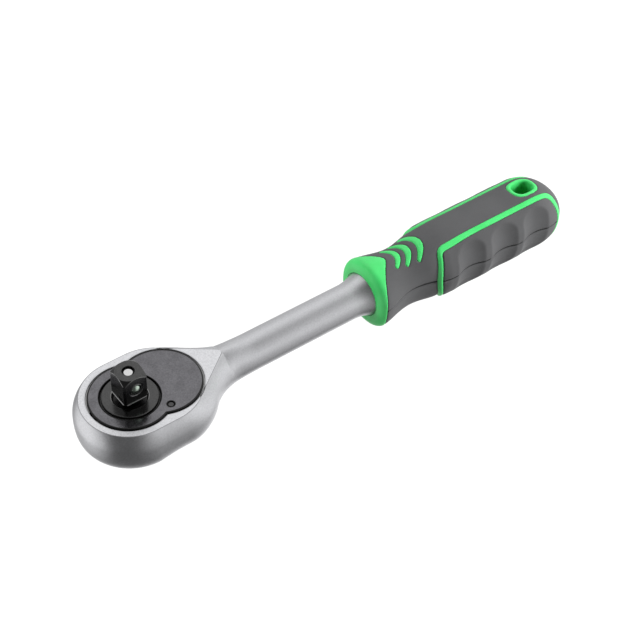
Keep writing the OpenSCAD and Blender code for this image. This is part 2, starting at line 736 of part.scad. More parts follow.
// The room that the shank and tang take up inside the core
module tang_room() {
  collar_in = grip_x + run;
  turned_x([
    [0, grip_x - over], [flare_r + seat, grip_x - over], [flare_r + seat, collar_in + flare_seat + seat],
    [tang_r + seat, collar_in + flare_seat + seat], [tang_r + seat, tang_end + seat], [0, tang_end + seat]
  ], shank_z);
}

module grip_core() {
  color("limegreen") difference() {
    union() {
      grip_form(skin_t);
      intersection() {
        grip_form(0);
        core_zones();
      }
    }
    tang_room();
    hang_block(0, hang_corner);
  }
}

module grip_skin() {
  difference() {
    grip_form(0);
    grip_form(skin_t);
    core_zones();
  }
}

module grip_sleeve() {
  color("dimgray") difference() {
    grip_skin();
    for (side = [-1, 1]) pad_window(side, 0.5, 0.5);
  }
}

module side_pad_right() {
  color("dimgray") intersection() {
    grip_skin();
    pad_window(-1, 0, 0);
  }
}

module side_pad_left() {
  color("dimgray") intersection() {
    grip_skin();
    pad_window(1, 0, 0);
  }
}

ratchet_body();
cover_plate();
plate_snap_ring();
cover_pin();
drive_gear();
drive_o_ring();
detent_ball();
release_pin();
release_button();
release_spring();
button_clip();
pawl();
reversing_lever();
lever_plunger();
plunger_spring();
lever_snap_ring();
lever_o_ring();
grip_core();
grip_sleeve();
side_pad_right();
side_pad_left();
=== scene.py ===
"""Looks of a reversible ratchet handle with a quarter-inch square drive.

Lengths are millimetres here and become metres as each mesh is made. X runs along the handle to the grip and Z
along the drive square. The origin is on the drive axis, in the plane of the head's machined face.
"""
import math

import bmesh
import bpy
import numpy as np
from mathutils import Euler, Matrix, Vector
from mathutils.geometry import tessellate_polygon


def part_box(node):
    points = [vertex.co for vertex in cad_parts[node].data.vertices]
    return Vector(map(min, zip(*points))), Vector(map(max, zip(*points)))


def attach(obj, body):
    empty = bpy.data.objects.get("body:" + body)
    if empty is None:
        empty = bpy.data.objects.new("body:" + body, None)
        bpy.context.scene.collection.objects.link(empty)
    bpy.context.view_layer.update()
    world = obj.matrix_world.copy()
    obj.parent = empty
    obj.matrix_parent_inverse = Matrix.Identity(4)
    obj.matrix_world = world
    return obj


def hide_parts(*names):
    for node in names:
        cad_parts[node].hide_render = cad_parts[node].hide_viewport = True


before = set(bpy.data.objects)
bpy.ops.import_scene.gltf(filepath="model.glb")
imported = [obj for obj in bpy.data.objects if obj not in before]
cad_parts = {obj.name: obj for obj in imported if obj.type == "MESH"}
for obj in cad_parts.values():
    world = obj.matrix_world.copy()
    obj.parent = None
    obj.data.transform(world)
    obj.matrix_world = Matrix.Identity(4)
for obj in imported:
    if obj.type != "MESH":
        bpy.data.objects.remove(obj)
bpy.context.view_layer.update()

MM = 0.001
WELD = 0.002
CLEARANCE = 0.05

# Head, neck and shank
HEAD_R = 13.6
FACE_R = 12.1
HEAD_T = 11.4
WAIST_Z = -4.8
BACK_EDGE = 2.0
WELL_GAP = 8.4
WELL_FLOOR = -8.3
PLATE_WELL_R = 10.35
LEDGE_W = 0.75
FACE_TIP = 26.2
FACE_TAPER = math.radians(36.3)
FACE_ARC_X = 6.0
FACE_ARC_END = 13.1
FACE_BEVEL = 0.16
TIP_R = 1.3
TIP_X = FACE_TIP - TIP_R / math.sin(FACE_TAPER)
SHANK_R = 4.75
SHANK_Z = -5.6
SHANK_X = 34.0
NECK_END = 28.8
SIDE_BLEND_X = 6.0
BACK_RISE_X = 19.5
TOP_FALL_X = 25.9
FLARE_X = 63.5
FLARE_END = 68.55
FLARE_R = 5.87
TANG_R = 4.2
TANG_SHOULDER_X = FLARE_END + 3.5
LOCKS_X = (80, 90, 100)
LOCK_R = 3.5
LOCK_W = 3
JOURNAL_R = 5.6
BORE_R = JOURNAL_R + CLEARANCE
BORE_CHAMFER = 0.25
LEVER_X = 15.35
LEVER_JOURNAL_R = 2.9

# Cover plate
PLATE_R = 10.0
PLATE_TOP = 0.2
PLATE_LOW = -1.3
PLATE_HOLE_R = 7.24
COVER_PIN = (6.45, -7.4)
COVER_PIN_HOLE_R = 0.87

# Drive
SQUARE_HALF = 3.175
SQUARE_CORNER_R = 4.2
SQUARE_FOOT_Z = 1.65
DRIVE_END = 8.9
NOSE_R = 3.22
NOSE_L = 1.0
PIN_BORE_R = 1.2
PIN_RECESS_R = 1.5
PIN_RECESS_Z = 7.7
NECK_R = 2.9
NECK_TOP = 1.35
NECK_LOW = -0.7
NECK_FLOOR_R = 3.9
DISC_R = 6.68
DISC_HOLE_R = 4.35
DISC_TOP = 0.4
DISC_LOW = -1.4
SEAL_SEAT_R = 6.47
SEAL_SEAT_Z = (-0.25, -1.05)
WHEEL_R = 9.4
WHEEL_LOW = -8.2
TEETH = 72
TOOTH_DEPTH = 0.6
JOURNAL_LOW = -11.2
BUTTON_BORE_R = 3.35
BUTTON_BORE_TOP = -5.65
BALL_Z = 5.4
BALL_HOLE_R = 1.33
BALL_HOLE_DEPTH = 0.9
STAKE_R = 1.92

# Reversing lever
LEVER_HUB_R = 4.7
LEVER_THUMB_R = 2.4
LEVER_REACH = 8.2
LEVER_REST = math.radians(25)
LEVER_TOP = -HEAD_T - 0.15
LEVER_LOW = -HEAD_T - 1.9
LEVER_STEM_R = 2.2
LEVER_STEM_TOP = -0.9
RIDGE_X = LEVER_REACH - 0.4
RIDGE_HALF = (0.42, 1.6)
RIDGE_PITCH = 1.4

# Grip
GRIP_X = 68.45
GRIP_END = 135.3
LIP_R = 7.0
COLLAR_R = 8.85
COLLAR_END = 70.0
COLLAR_REACH = 5.4
WAIST_X = 80.0
WAIST_HALF = 6.45
HOLLOW_X = 80.6
HOLLOW_R = 14.0
FRONT_HIGH = 8.9
REAR_HIGH = 9.6
REAR_WIDE = 9.3
DOME_X = 121.5
DOME_DROP = 2.4
HANG_X = 122.0
HANG_HALF = (3.2, 2.3)
HANG_RIM_HALF = (4.45, 3.2)
HANG_POWER = 2.6
HANG_ROUND = 0.65
CORE_SHOULDER_X = FLARE_END + 3.4
CORE_BORE_R = 4.22
CORE_BORE_END = 112.1
CORE_DEPTH = 0.75
CORE_PROUD = 0.08
BORDER_GROOVE = 0.12
BORDER_W = 0.35
BORDER_SLOPE = 2.6
SKIN_T = 0.62
STRIPE_AT = (25.6, 34.9)
STRIPE_X = 87.75
STRIPE_W = 0.85
STRIPE_REAR_W = 1.8
PAD_END = 130.0
STEP_DEPTH = 0.65
PARTING_DEPTH = 0.45
GIRTH_R = 9.4
CHEVRONS = 3
CHEVRON_X = 78.85
DENTS = 3
DENT_X = 98.0
DENT_PITCH = 11.3
DENT_HALF = 4.6
DENT_DEPTH = 1.1

# Camera
SENSOR_W = 36.0
PHOTO_PIXELS = 640
FOCAL_PIXELS = 1504
CAMERA_PLACE = (-111.32, -203.45, 263.42)
CAMERA_TURN = (44.136, -2.205, -37.069)

# Tints of the greys
COOL = (0.985, 0.99, 1.02)
VIOLET = (1.0, 0.985, 1.05)


def mix(a, b, t):
    return a + (b - a) * t


def ramp(x, start, end):
    """Eases from 0 to 1 as x goes from start to end, either of which may be the larger, and holds beyond."""
    t = np.clip((x - start) / (end - start), 0, 1)
    return t * t * (3 - 2 * t)


def hump(x, middle, width):
    """A bell curve, 1 at its middle and down to about a third a width away."""
    return np.exp(-((x - middle) / width) ** 2)


def leg(long_side, other):
    """The third side of a right-angled triangle, or 0 past its reach."""
    return np.sqrt(np.clip(long_side ** 2 - other ** 2, 0, None))


def powered(value, power):
    """A power of a value's size that keeps its sign."""
    return np.sign(value) * abs(value) ** power


def soft_min(a, b, width):
    """The smaller of two values, eased where they differ by less than width."""
    h = np.clip(width - abs(a - b), 0, None) / width
    return np.minimum(a, b) - h * h * width / 4


def eased(corners, radii, steps=4, closed=False):
    """A path through corners. Each corner gives way to a quadratic curve that starts and ends its radius
    away, with a point a little further out on each side, so that the straight stretches shade flat. A stretch
    is longer than outer times the two radii at its ends, or the path would turn back on itself."""
    corner = np.asarray(corners, float)
    radius = np.broadcast_to(radii, len(corner)).astype(float)[:, None]
    before = np.roll(corner, 1, 0) - corner
    after = np.roll(corner, -1, 0) - corner
    before /= np.linalg.norm(before, axis=1)[:, None]
    after /= np.linalg.norm(after, axis=1)[:, None]
    t = np.linspace(0, 1, steps + 1)[None, :, None]
    start, end = (corner + before * radius)[:, None], (corner + after * radius)[:, None]
    curve = (1 - t) ** 2 * start + 2 * t * (1 - t) * corner[:, None] + t * t * end
    outer = 1.35
    path = np.concatenate(
        [(corner + before * radius * outer)[:, None], curve, (corner + after * radius * outer)[:, None]], 1)
    if closed:
        path = path.reshape(-1, 2)
        return np.vstack([path, path[:1]])
    return np.vstack([corner[:1], path[1:-1].reshape(-1, 2), corner[-1:]])


def finer(path, longest, above):
    """The same path with the stretches above a height cut into equal steps, none longer than longest."""
    out = [path[:1]]
    for a, b in zip(path[:-1], path[1:]):
        cuts = 1
        if min(a[1], b[1]) >= above:
            cuts = max(1, math.ceil(np.linalg.norm(b - a) / longest))
        out.append(a + (b - a) * (np.arange(1, cuts + 1) / cuts)[:, None])
    return np.vstack(out)


def corners_of(values):
    """The four corner values of each quad of a grid."""
    return np.stack([values[:-1, :-1], values[:-1, 1:], values[1:, 1:], values[1:, :-1]], -1)


def wrapped(values):
    """The grid with its first column repeated after the last."""
    return np.hstack([values, values[:, :1]])


def sheet(points, wrap=False, keep=None):
    """Quads over a grid of points. wrap joins the last column to the first; keep says which quads stay."""
    rows, cols = points.shape[:2]
    at = np.arange(rows * cols).reshape(rows, cols)
    quads = corners_of(wrapped(at) if wrap else at)
    quads = quads[keep] if keep is not None else quads.reshape(-1, 4)
    return points.reshape(-1, 3), quads


def flat(z, *loops):
    """A level face inside the first loop and outside the others, each an array of x, y points."""
    triangles = tessellate_polygon([[Vector((x, y, 0)) for x, y in loop] for loop in loops])
    plan = np.vstack(loops)
    return np.column_stack([plan, np.full(len(plan), z)]), np.array(triangles)


def arc(radius, count, start, end, centre=(0, 0)):
    """Points along an arc about a centre, with both its ends."""
    angle = np.linspace(start, end, count)
    return np.column_stack([centre[0] + radius * np.cos(angle), centre[1] + radius * np.sin(angle)])


def raised(outlines, heights):
    """Stacks outlines of x, y points at their heights into one grid."""
    outlines = np.asarray(outlines)
    levels = np.broadcast_to(np.asarray(heights, float)[:, None, None], outlines.shape[:2] + (1,))
    return np.concatenate([outlines, levels], -1)


def turned(profile, count, centre=(0, 0)):
    """A profile of radius and height carried round an upright axis: x = r cos a, y = r sin a."""
    angle = np.linspace(0, 2 * math.pi, count, endpoint=False)
    radius, height = profile[:, :1], profile[:, 1:]
    return np.stack([
        centre[0] + radius * np.cos(angle), centre[1] + radius * np.sin(angle), height + 0 * angle], -1)


def piece(name, parts, body, finishes, replaces=(), sharp=32, values=None):
    """Joins parts, each its points, its faces and the number of its finish, into one object on a body.
    values are numbers for every point, kept in the mesh under their names."""
    points = np.vstack([part[0] for part in parts]) * MM
    faces, number, start = [], [], 0
    for part in parts:
        faces += (part[1] + start).tolist()
        number += [part[2] if len(part) > 2 else 0] * len(part[1])
        start += len(part[0])
    mesh = bpy.data.meshes.new(name)
    mesh.from_pydata(points, [], faces)
    mesh.polygons.foreach_set("material_index", number)
    for label, value in (values or {}).items():
        held = mesh.attributes.new(label, "FLOAT", "POINT")
        held.data.foreach_set("value", np.ascontiguousarray(value, np.float32))
    work = bmesh.new()
    work.from_mesh(mesh)
    bmesh.ops.remove_doubles(work, verts=work.verts, dist=WELD * MM)
    bmesh.ops.recalc_face_normals(work, faces=work.faces)
    work.to_mesh(mesh)
    work.free()
    mesh.shade_smooth()
    mesh.set_sharp_from_angle(angle=math.radians(sharp))
    for finish in finishes:
        mesh.materials.append(finish.material)
    made = bpy.data.objects.new(name, mesh)
    bpy.context.scene.collection.objects.link(made)
    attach(made, body)
    if replaces:
        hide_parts(*replaces)


class Num:
    """A socket's value. Sums on it add Math nodes."""

    def __init__(self, finish, socket):
        self.finish = finish
        self.socket = socket

    def __add__(self, other):
        return self.finish.math("ADD", self, other)

    def __sub__(self, other):
        return self.finish.math("SUBTRACT", self, other)

    def __rsub__(self, other):
        return self.finish.math("SUBTRACT", other, self)

    def __mul__(self, other):
        return self.finish.math("MULTIPLY", self, other)

    __radd__ = __add__
    __rmul__ = __mul__


class Graph:
    """A node tree that a material or the world is built in."""

    def __init__(self, tree):
        self.tree = tree
        tree.nodes.clear()

    def node(self, kind, settings=None, inputs=None, output=0):
        """Adds a node: its type, its settings, then the values or links of its sockets."""
        made = self.tree.nodes.new(kind)
        for key, value in (settings or {}).items():
            setattr(made, key, value)
        for key, value in (inputs or {}).items():
            if isinstance(value, Num):
                self.tree.links.new(value.socket, made.inputs[key])
            else:
                made.inputs[key].default_value = value
        return Num(self, made.outputs[output])

    def math(self, operation, *values):
        return self.node("ShaderNodeMath", {"operation": operation}, dict(enumerate(values)))

    def span(self, value, low, high, to_low=0.0, to_high=1.0, kind="LINEAR"):
        """Carries a value from one range to another, and holds it there."""
        return self.node("ShaderNodeMapRange", {"clamp": True, "interpolation_type": kind}, {
            0: value, 1: low, 2: high, 3: to_low, 4: to_high})

    def end(self, kind, output, **inputs):
        """Adds the shader and the tree's output; names with underscores stand for the shader's sockets."""
        shader = self.node(kind, inputs={key.replace("_", " "): value for key, value in inputs.items()})
        out = self.tree.nodes.new(output)
        self.tree.links.new(shader.socket, out.inputs["Surface"])


class Finish(Graph):
    """One material."""

    def __init__(self, name):
        self.material = bpy.data.materials.new(name)
        self.material.use_nodes = True
        super().__init__(self.material.node_tree)
        place = self.node("ShaderNodeTexCoord", output="Object")
        self.place = self.node("ShaderNodeVectorMath", {"operation": "SCALE"}, {0: place, "Scale": 1 / MM})

    def noise(self, per_mm, detail=2.0, stretch=(1, 1, 1), rough=0.5):
        """Noise of so many waves to the millimetre, from 0 to 1."""
        place = self.place
        if stretch != (1, 1, 1):
            place = self.node("ShaderNodeMapping", inputs={"Vector": place, "Scale": stretch})
        return self.node("ShaderNodeTexNoise", inputs={
            "Vector": place, "Scale": per_mm, "Detail": detail, "Roughness": rough})

    def axis(self, letter):
        """One of the place's three numbers, in millimetres."""
        return self.node("ShaderNodeSeparateXYZ", inputs={0: self.place}, output=letter)

    def value(self, label):
        """Numbers that the mesh keeps under a name."""
        return self.node("ShaderNodeAttribute", {"attribute_name": label}, output="Fac")

    def blend(self, factor, low, high):
        """Colour low where factor is 0 and high where it is 1."""
        return self.node("ShaderNodeMix", {"data_type": "RGBA"}, {0: factor, 6: low, 7: high}, output=2)

    def bump(self, height, depth, strength):
        """Normals of a height field whose whole range is depth millimetres."""
        return self.node("ShaderNodeBump", inputs={
            "Height": height, "Distance": depth * MM, "Strength": strength})

    def surface(self, **inputs):
        self.end("ShaderNodeBsdfPrincipled", "ShaderNodeOutputMaterial", **inputs)
        return self


def grey(value, tint=(1.0, 1.0, 1.0)):
    return tuple(value * part for part in tint) + (1.0,)


def satin_chrome(name="satin_chrome", base=0.74):
    """Blasted and plated steel: a fine even grain, with broad soft clouds in its gloss."""
    finish = Finish(name)
    grain = finish.noise(2.4, 4.0, rough=0.75)
    cloud = finish.noise(0.35, 2.0)
    colour = finish.blend(finish.span(grain, 0.32, 0.68), grey(base * 0.88, COOL), grey(base * 1.08, COOL))
    rough = finish.span(grain * 0.5 + cloud * 0.5, 0.3, 0.7, 0.30, 0.40)
    return finish.surface(
        Base_Color=colour, Metallic=1.0, Roughness=rough, Normal=finish.bump(grain, 0.025, 0.6))


def machined_face():
    """Ground flat steel: brighter than the plating, with coarse bright specks and clouds in its gloss."""
    finish = Finish("machined_face")
    speck = finish.noise(2.0, 4.0, rough=0.8)
    cloud = finish.noise(0.5, 2.0)
    colour = finish.blend(finish.span(speck, 0.33, 0.62), grey(0.76, COOL), grey(1.0, COOL))
    rough = finish.span(cloud, 0.3, 0.7, 0.36, 0.44)
    return finish.surface(
        Base_Color=colour, Metallic=1.0, Roughness=rough, Normal=finish.bump(speck, 0.03, 0.6))


def plate_steel():
    """Phosphated plate: mid grey crystals with a faint sheen."""
    finish = Finish("phosphated_plate")
    crystal = finish.noise(3.0, 4.0, rough=0.75)
    cloud = finish.noise(0.3, 2.0)
    crystals = finish.span(crystal * 0.7 + cloud * 0.3, 0.36, 0.62)
    colour = finish.blend(crystals, grey(0.135, VIOLET), grey(0.23, VIOLET))
    rough = finish.span(cloud, 0.3, 0.7, 0.13, 0.18)
    return finish.surface(
        Base_Color=colour, Metallic=1.0, Roughness=rough, Normal=finish.bump(crystal, 0.02, 0.6))


def drive_steel():
    """Blackened steel, lighter where the mesh's wear_and_highlight value says so: partly wear from use,
    partly painted highlight on edges and rims.
    """
    finish = Finish("blackened_steel")
    grain = finish.noise(4.0, 3.0, rough=0.6)
    wear_and_highlight = finish.value("wear_and_highlight")
    wear_and_highlight_mix = finish.span(wear_and_highlight + (grain - 0.5) * 0.5, 0.35, 0.9)
    dark = finish.blend(finish.span(grain, 0.3, 0.7), grey(0.078), grey(0.12))
    colour = finish.blend(wear_and_highlight_mix, dark, grey(0.42))
    rough = finish.span(grain, 0.3, 0.7, 0.18, 0.25)
    return finish.surface(
        Base_Color=colour, Metallic=1.0, Roughness=rough, Normal=finish.bump(grain, 0.01, 0.5))


def bright_steel(name="bright_steel", base=0.82, low=0.12, high=0.22, tint=(1.0, 1.0, 1.0)):
    """Polished steel with faint turning marks."""
    finish = Finish(name)
    mark = finish.noise(3.0, 2.0, stretch=(1, 1, 6))
    colour = finish.blend(mark, grey(base * 0.9, tint), grey(base, tint))
    rough = finish.span(mark, 0.3, 0.7, low, high)
    return finish.surface(
        Base_Color=colour, Metallic=1.0, Roughness=rough, Normal=finish.bump(mark, 0.003, 0.4))


def plain_steel(name, base, rough_low, rough_high):
    """Ground steel with fine streaks and small stains."""
    finish = Finish(name)
    streak = finish.noise(2.5, 3.0, stretch=(1, 5, 1))
    stain = finish.noise(0.6, 3.0)
    colour = finish.blend(
        finish.span(streak * 0.6 + stain * 0.4, 0.3, 0.7), grey(base * 0.75), grey(base))
    rough = finish.span(stain, 0.3, 0.7, rough_low, rough_high)
    return finish.surface(
        Base_Color=colour, Metallic=1.0, Roughness=rough, Normal=finish.bump(streak, 0.006, 0.5))


def black_lever():
    """Black baked paint with a light orange peel."""
    finish = Finish("black_paint")
    peel = finish.noise(1.6, 2.0)
    grain = finish.noise(7.0, 2.0)
    colour = finish.blend(grain, grey(0.018), grey(0.035))
    rough = finish.span(peel, 0.3, 0.7, 0.3, 0.42)
    return finish.surface(
        Base_Color=colour, Roughness=rough, Normal=finish.bump(peel * 0.7 + grain * 0.3, 0.02, 0.5))


def black_rubber():
    """The seals' black rubber, matt with a faint bloom."""
    finish = Finish("seal_rubber")
    bloom = finish.noise(1.5, 3.0)
    colour = finish.blend(bloom, grey(0.012), grey(0.03))
    rough = finish.span(bloom, 0.3, 0.7, 0.5, 0.65)
    return finish.surface(Base_Color=colour, Roughness=rough, Normal=finish.bump(bloom, 0.01, 0.5))


def grip_rubber():
    """The grip's soft dark grey skin: very fine moulded grain and broad clouds in its gloss. A thin
    near-black line along the mould's parting groove is painted shade; it sinks with the grip's middle towards
    the rear end."""
    finish = Finish("grip_rubber")
    grain = finish.noise(6.0, 2.0, rough=0.6)
    cloud = finish.noise(0.12, 2.0)
    share = finish.span(finish.axis("X"), DOME_X, GRIP_END)
    off_line = finish.math("ABSOLUTE", finish.axis("Z") - SHANK_Z + share * share * DOME_DROP)
    # Painted shade: near-black colour along the parting groove, darkening the crease
    line = finish.span(off_line, 0.18, 0.38, 1.0, 0.0)
    plain = finish.blend(
        finish.span(grain * 0.5 + cloud * 0.5, 0.3, 0.7), grey(0.049, COOL), grey(0.07, COOL))
    colour = finish.blend(line, plain, grey(0.007))
    rough = finish.span(grain * 0.4 + cloud * 0.6, 0.3, 0.7, 0.48, 0.58)
    return finish.surface(
        Base_Color=colour, Roughness=rough, Specular_IOR_Level=0.35,
        Normal=finish.bump(grain, 0.02, 0.45))


def core_green():
    """The grip's hard green core, smooth with a soft moulded gloss."""
    finish = Finish("core_green")
    cloud = finish.noise(0.25, 2.0)
    grain = finish.noise(5.0, 2.0)
    colour = finish.blend(
        finish.span(cloud, 0.3, 0.7), (0.034, 0.42, 0.092, 1.0), (0.048, 0.465, 0.118, 1.0))
    rough = finish.span(grain * 0.5 + cloud * 0.5, 0.3, 0.7, 0.34, 0.42)
    return finish.surface(
        Base_Color=colour, Roughness=rough, Normal=finish.bump(grain, 0.01, 0.35))


def two_circles(radius, front=56, rear=72):
    """Half the outline of two equal circles, one on the drive axis and one on the well's: from the front,
    over +Y, to the rear. The arcs meet halfway between the axes, always at the same point of the list."""
    meet = math.acos(WELL_GAP / 2 / radius)
    over_drive = arc(radius, front, meet, math.pi)[::-1]
    over_well = arc(radius, rear, 0, math.pi - meet, (WELL_GAP, 0))[::-1]
    return np.vstack([over_drive, over_well[1:]])


def whole(half):
    """A half outline from front to rear and its mirror image back."""
    return np.vstack([half, half[-2:0:-1] * (1, -1)])


def body_stations():
    """What each section across the head, neck and shank needs, as one array a quantity.

    The head's sides are circles about the drive and well axes, then a fillet that runs out into the shank.
    The machined face keeps within them: an arc, then two straight sides to a rounded tip."""
    fillet = ((NECK_END - WELL_GAP) ** 2 + SHANK_R ** 2 - HEAD_R ** 2) / (2 * (HEAD_R - SHANK_R))
    touch = WELL_GAP + (NECK_END - WELL_GAP) * HEAD_R / (HEAD_R + fillet)
    tip_start = TIP_X + TIP_R * math.sin(FACE_TAPER)
    nose = np.linspace(math.pi, math.pi / 2, 48, endpoint=False)
    tip = np.linspace(FACE_TAPER, math.pi / 2, 9)
    x = np.concatenate([
        np.zeros(len(nose)), np.linspace(0, tip_start, 94)[:-1], TIP_X + TIP_R * np.sin(tip),
        np.linspace(FACE_TIP, SHANK_X, 28), np.linspace(SHANK_X + 3, FLARE_X, 10),
        np.linspace(FLARE_X, FLARE_END, 16)[1:]])
    turn = np.concatenate([nose, np.full(len(x) - len(nose), math.pi / 2)])

    circle_w = leg(HEAD_R, np.clip(x - WELL_GAP, 0, None))
    fillet_w = SHANK_R + fillet - leg(fillet, np.clip(NECK_END - x, 0, fillet))
    w = np.where(x < touch, circle_w, fillet_w)
    w = w + (FLARE_R - SHANK_R) * np.clip((x - FLARE_X) / (FLARE_END - FLARE_X), 0, 1) ** 2
    straight = (FACE_TIP - x) * math.tan(FACE_TAPER)
    off_axis = 0.1
    face = off_axis + leg(FACE_R - off_axis, np.clip(x - FACE_ARC_X, 0, None))
    face = np.where(x > FACE_ARC_END, straight, face)
    face = np.where(x > tip_start - 1e-6, leg(TIP_R, x - TIP_X), face)
    flare = np.where(x > NECK_END, w - SHANK_R, 0)
    blend = ramp(x, SIDE_BLEND_X, SHANK_X)
    back_edge = mix(BACK_EDGE, BACK_EDGE + 1.5, ramp(x, -2, 6))
    return dict(
        x=x, turn=turn, w=w, face=face,
        top=mix(0, SHANK_Z + SHANK_R, ramp(x, TOP_FALL_X, SHANK_X)) + flare,
        mid=mix(WAIST_Z, SHANK_Z, blend),
        low=mix(-HEAD_T, SHANK_Z - SHANK_R, ramp(x, BACK_RISE_X, SHANK_X)) - flare,
        edge=mix(back_edge, w, ramp(x, 10, 28)),
        upper=mix(1.0, 0.5, blend), lower=mix(2.45, 2.0, blend))


def body_skin(s):
    """Half the outside of head, neck and shank, as a grid: stations by points from the machined face's edge,
    over the side, to the edge of the back. Above the widest level a point at share u of the height stands
    (1 - u u) to the upper power of the way out; below it the section is part of a superellipse. The face's
    edge is rounded by a quadratic curve over the first points."""
    s = {key: value[:, None] for key, value in s.items()}
    first = 5
    rise = np.radians(np.concatenate([np.linspace(90, 80, first), np.linspace(76.5, 0, 24)]))
    u = np.sin(rise)
    y_up = s["face"] + (s["w"] - s["face"]) * np.clip(1 - u * u, 0, 1) ** s["upper"]
    z_up = mix(s["mid"], s["top"], u)
    t = np.linspace(0, 1, first)
    inner = np.clip(s["face"] - FACE_BEVEL, 0, None)
    y_curve = (1 - t) ** 2 * inner + 2 * t * (1 - t) * s["face"] + t * t * y_up[:, first - 1:first]
    z_curve = (1 - t * t) * s["top"] + t * t * z_up[:, first - 1:first]
    crisp = np.clip(s["face"] / 0.5, 0, 1)
    y_up[:, :first] = mix(y_up[:, :first], y_curve, crisp)
    z_up[:, :first] = mix(z_up[:, :first], z_curve, crisp)
    fall = np.radians(np.linspace(0, 90, 26))[1:]
    y_low = s["w"] - s["edge"] + s["edge"] * np.clip(np.cos(fall), 0, 1) ** (2 / s["lower"])
    z_low = mix(s["mid"], s["low"], np.sin(fall) ** (2 / s["lower"]))
    rim = np.clip(s["face"] - FACE_BEVEL * 1.4, 0, None)
    y = np.hstack([rim, y_up, y_low])
    z = np.hstack([s["top"], z_up, z_low])
    return np.stack([s["x"] + y * np.cos(s["turn"]), y * np.sin(s["turn"]), z], -1)


def head_well(face_edge):
    """Half the machined face, the stepped well under it, its floor and the bore for the drive's journal.
    Gives the parts and the bore's half circle."""
    ledge_r = PLATE_WELL_R - LEDGE_W
    face_strip, floor_strip = 0.3, 0.5
    profile = eased(
        [(PLATE_WELL_R + face_strip, 0), (PLATE_WELL_R, 0), (PLATE_WELL_R, PLATE_LOW), (ledge_r, PLATE_LOW),
         (ledge_r, WELL_FLOOR), (ledge_r - floor_strip, WELL_FLOOR)], (0, 0.12, 0.06, 0.06, 0.1, 0))
    wall = raised([two_circles(r) for r in profile[:, 0]], profile[:, 1])
    face = flat(0, np.vstack([face_edge, wall[0, ::-1, :2]])) + (1,)

    away = np.arctan2(wall[-1, :, 1], wall[-1, :, 0])
    bore = BORE_R * np.column_stack([np.cos(away), np.sin(away)])
    floor = np.stack([wall[-1], np.column_stack([bore, wall[-1, :, 2]])])
    steps = np.array([
        (BORE_R, WELL_FLOOR), (BORE_R, BORE_CHAMFER - HEAD_T), (BORE_R + BORE_CHAMFER, -HEAD_T)])
    bore_wall = raised([bore / BORE_R * r for r in steps[:, 0]], steps[:, 1])
    return [sheet(wall), face, sheet(floor), sheet(bore_wall)], bore


def head_back(back_edge, bore):
    """Half the head's back, between its edge and the bores of the drive and the lever, and half the lever's
    closed bore."""
    lever_bore = arc(LEVER_JOURNAL_R + CLEARANCE, 40, 0, math.pi, (LEVER_X, 0))
    lever_bore_top = WELL_FLOOR - 0.1
    bore_edge = bore[::-1] / BORE_R * (BORE_R + BORE_CHAMFER)
    on_axis = np.array([[back_edge[-1, 0], 0.0]])
    return [
        flat(-HEAD_T, np.vstack([back_edge, on_axis, lever_bore, bore_edge])),
        sheet(raised([lever_bore, lever_bore], [-HEAD_T, lever_bore_top])), flat(lever_bore_top, lever_bore)]


def tang(ring):
    """Half the end of the shank inside the grip: a shoulder and round lock grooves, carried round the shank's
    axis through the points of its last section. A fine step first keeps the flare's shading to itself."""
    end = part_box("ratchet_body")[1].x / MM
    start_r = FLARE_R - 0.01
    corners = [
        (FLARE_R, FLARE_END), (start_r, FLARE_END), (start_r, TANG_SHOULDER_X), (TANG_R, TANG_SHOULDER_X)]
    for x in LOCKS_X:
        corners += [(TANG_R, x), (LOCK_R, x), (LOCK_R, x + LOCK_W), (TANG_R, x + LOCK_W)]
    corners += [(TANG_R, end), (0, end)]
    profile = eased(corners, [0, 0] + [0.1] * (len(corners) - 2))[:, None]
    out = (ring[:, 1:] - (0, SHANK_Z)) / FLARE_R
    across = profile[..., :1] * out + (0, SHANK_Z)
    return sheet(np.concatenate([profile[..., 1:] + 0 * across[..., :1], across], -1))


def ratchet_body(satin, ground, painted_edge_shade):
    """Head, neck, shank and tang. One half is made and mirrored. The machined face is ground, and the narrow
    round next to it takes a darker copy of the plating, painted shade along the face's edge."""
    s = body_stations()
    skin = body_skin(s)
    points, quads = sheet(skin)
    row, column = np.divmod(np.arange(len(quads)), skin.shape[1] - 1)
    tip_row = int(np.argmin(abs(s["x"] - (TIP_X + TIP_R))))
    rim_meets_axis = np.flatnonzero((s["x"] > TIP_X) & (skin[:, 0, 1] == 0))[0]
    back_end = int(np.searchsorted(s["x"], BACK_RISE_X))
    on_face = column == 0
    # Painted shade: the narrow round next to the face takes the darker copy of the plating
    shaded_rim = (column > 0) & (column < 3) & (row < tip_row - 2)
    parts = [
        (points, quads[~on_face & ~shaded_rim], 0), (points, quads[on_face], 1), (points, quads[shaded_rim], 2)]
    well, bore = head_well(skin[:rim_meets_axis + 1, 0, :2])
    parts += well + head_back(skin[:back_end, -1, :2], bore)
    neck = skin[back_end - 1:, -1]
    parts += [sheet(np.stack([neck, neck * (1, 0, 1)])), tang(skin[-1])]
    parts += [(part[0] * (1, -1, 1),) + tuple(part[1:]) for part in parts]
    finishes = [satin, ground, painted_edge_shade]
    piece("head_and_shank", parts, "handle", finishes, ["ratchet_body"], sharp=40)


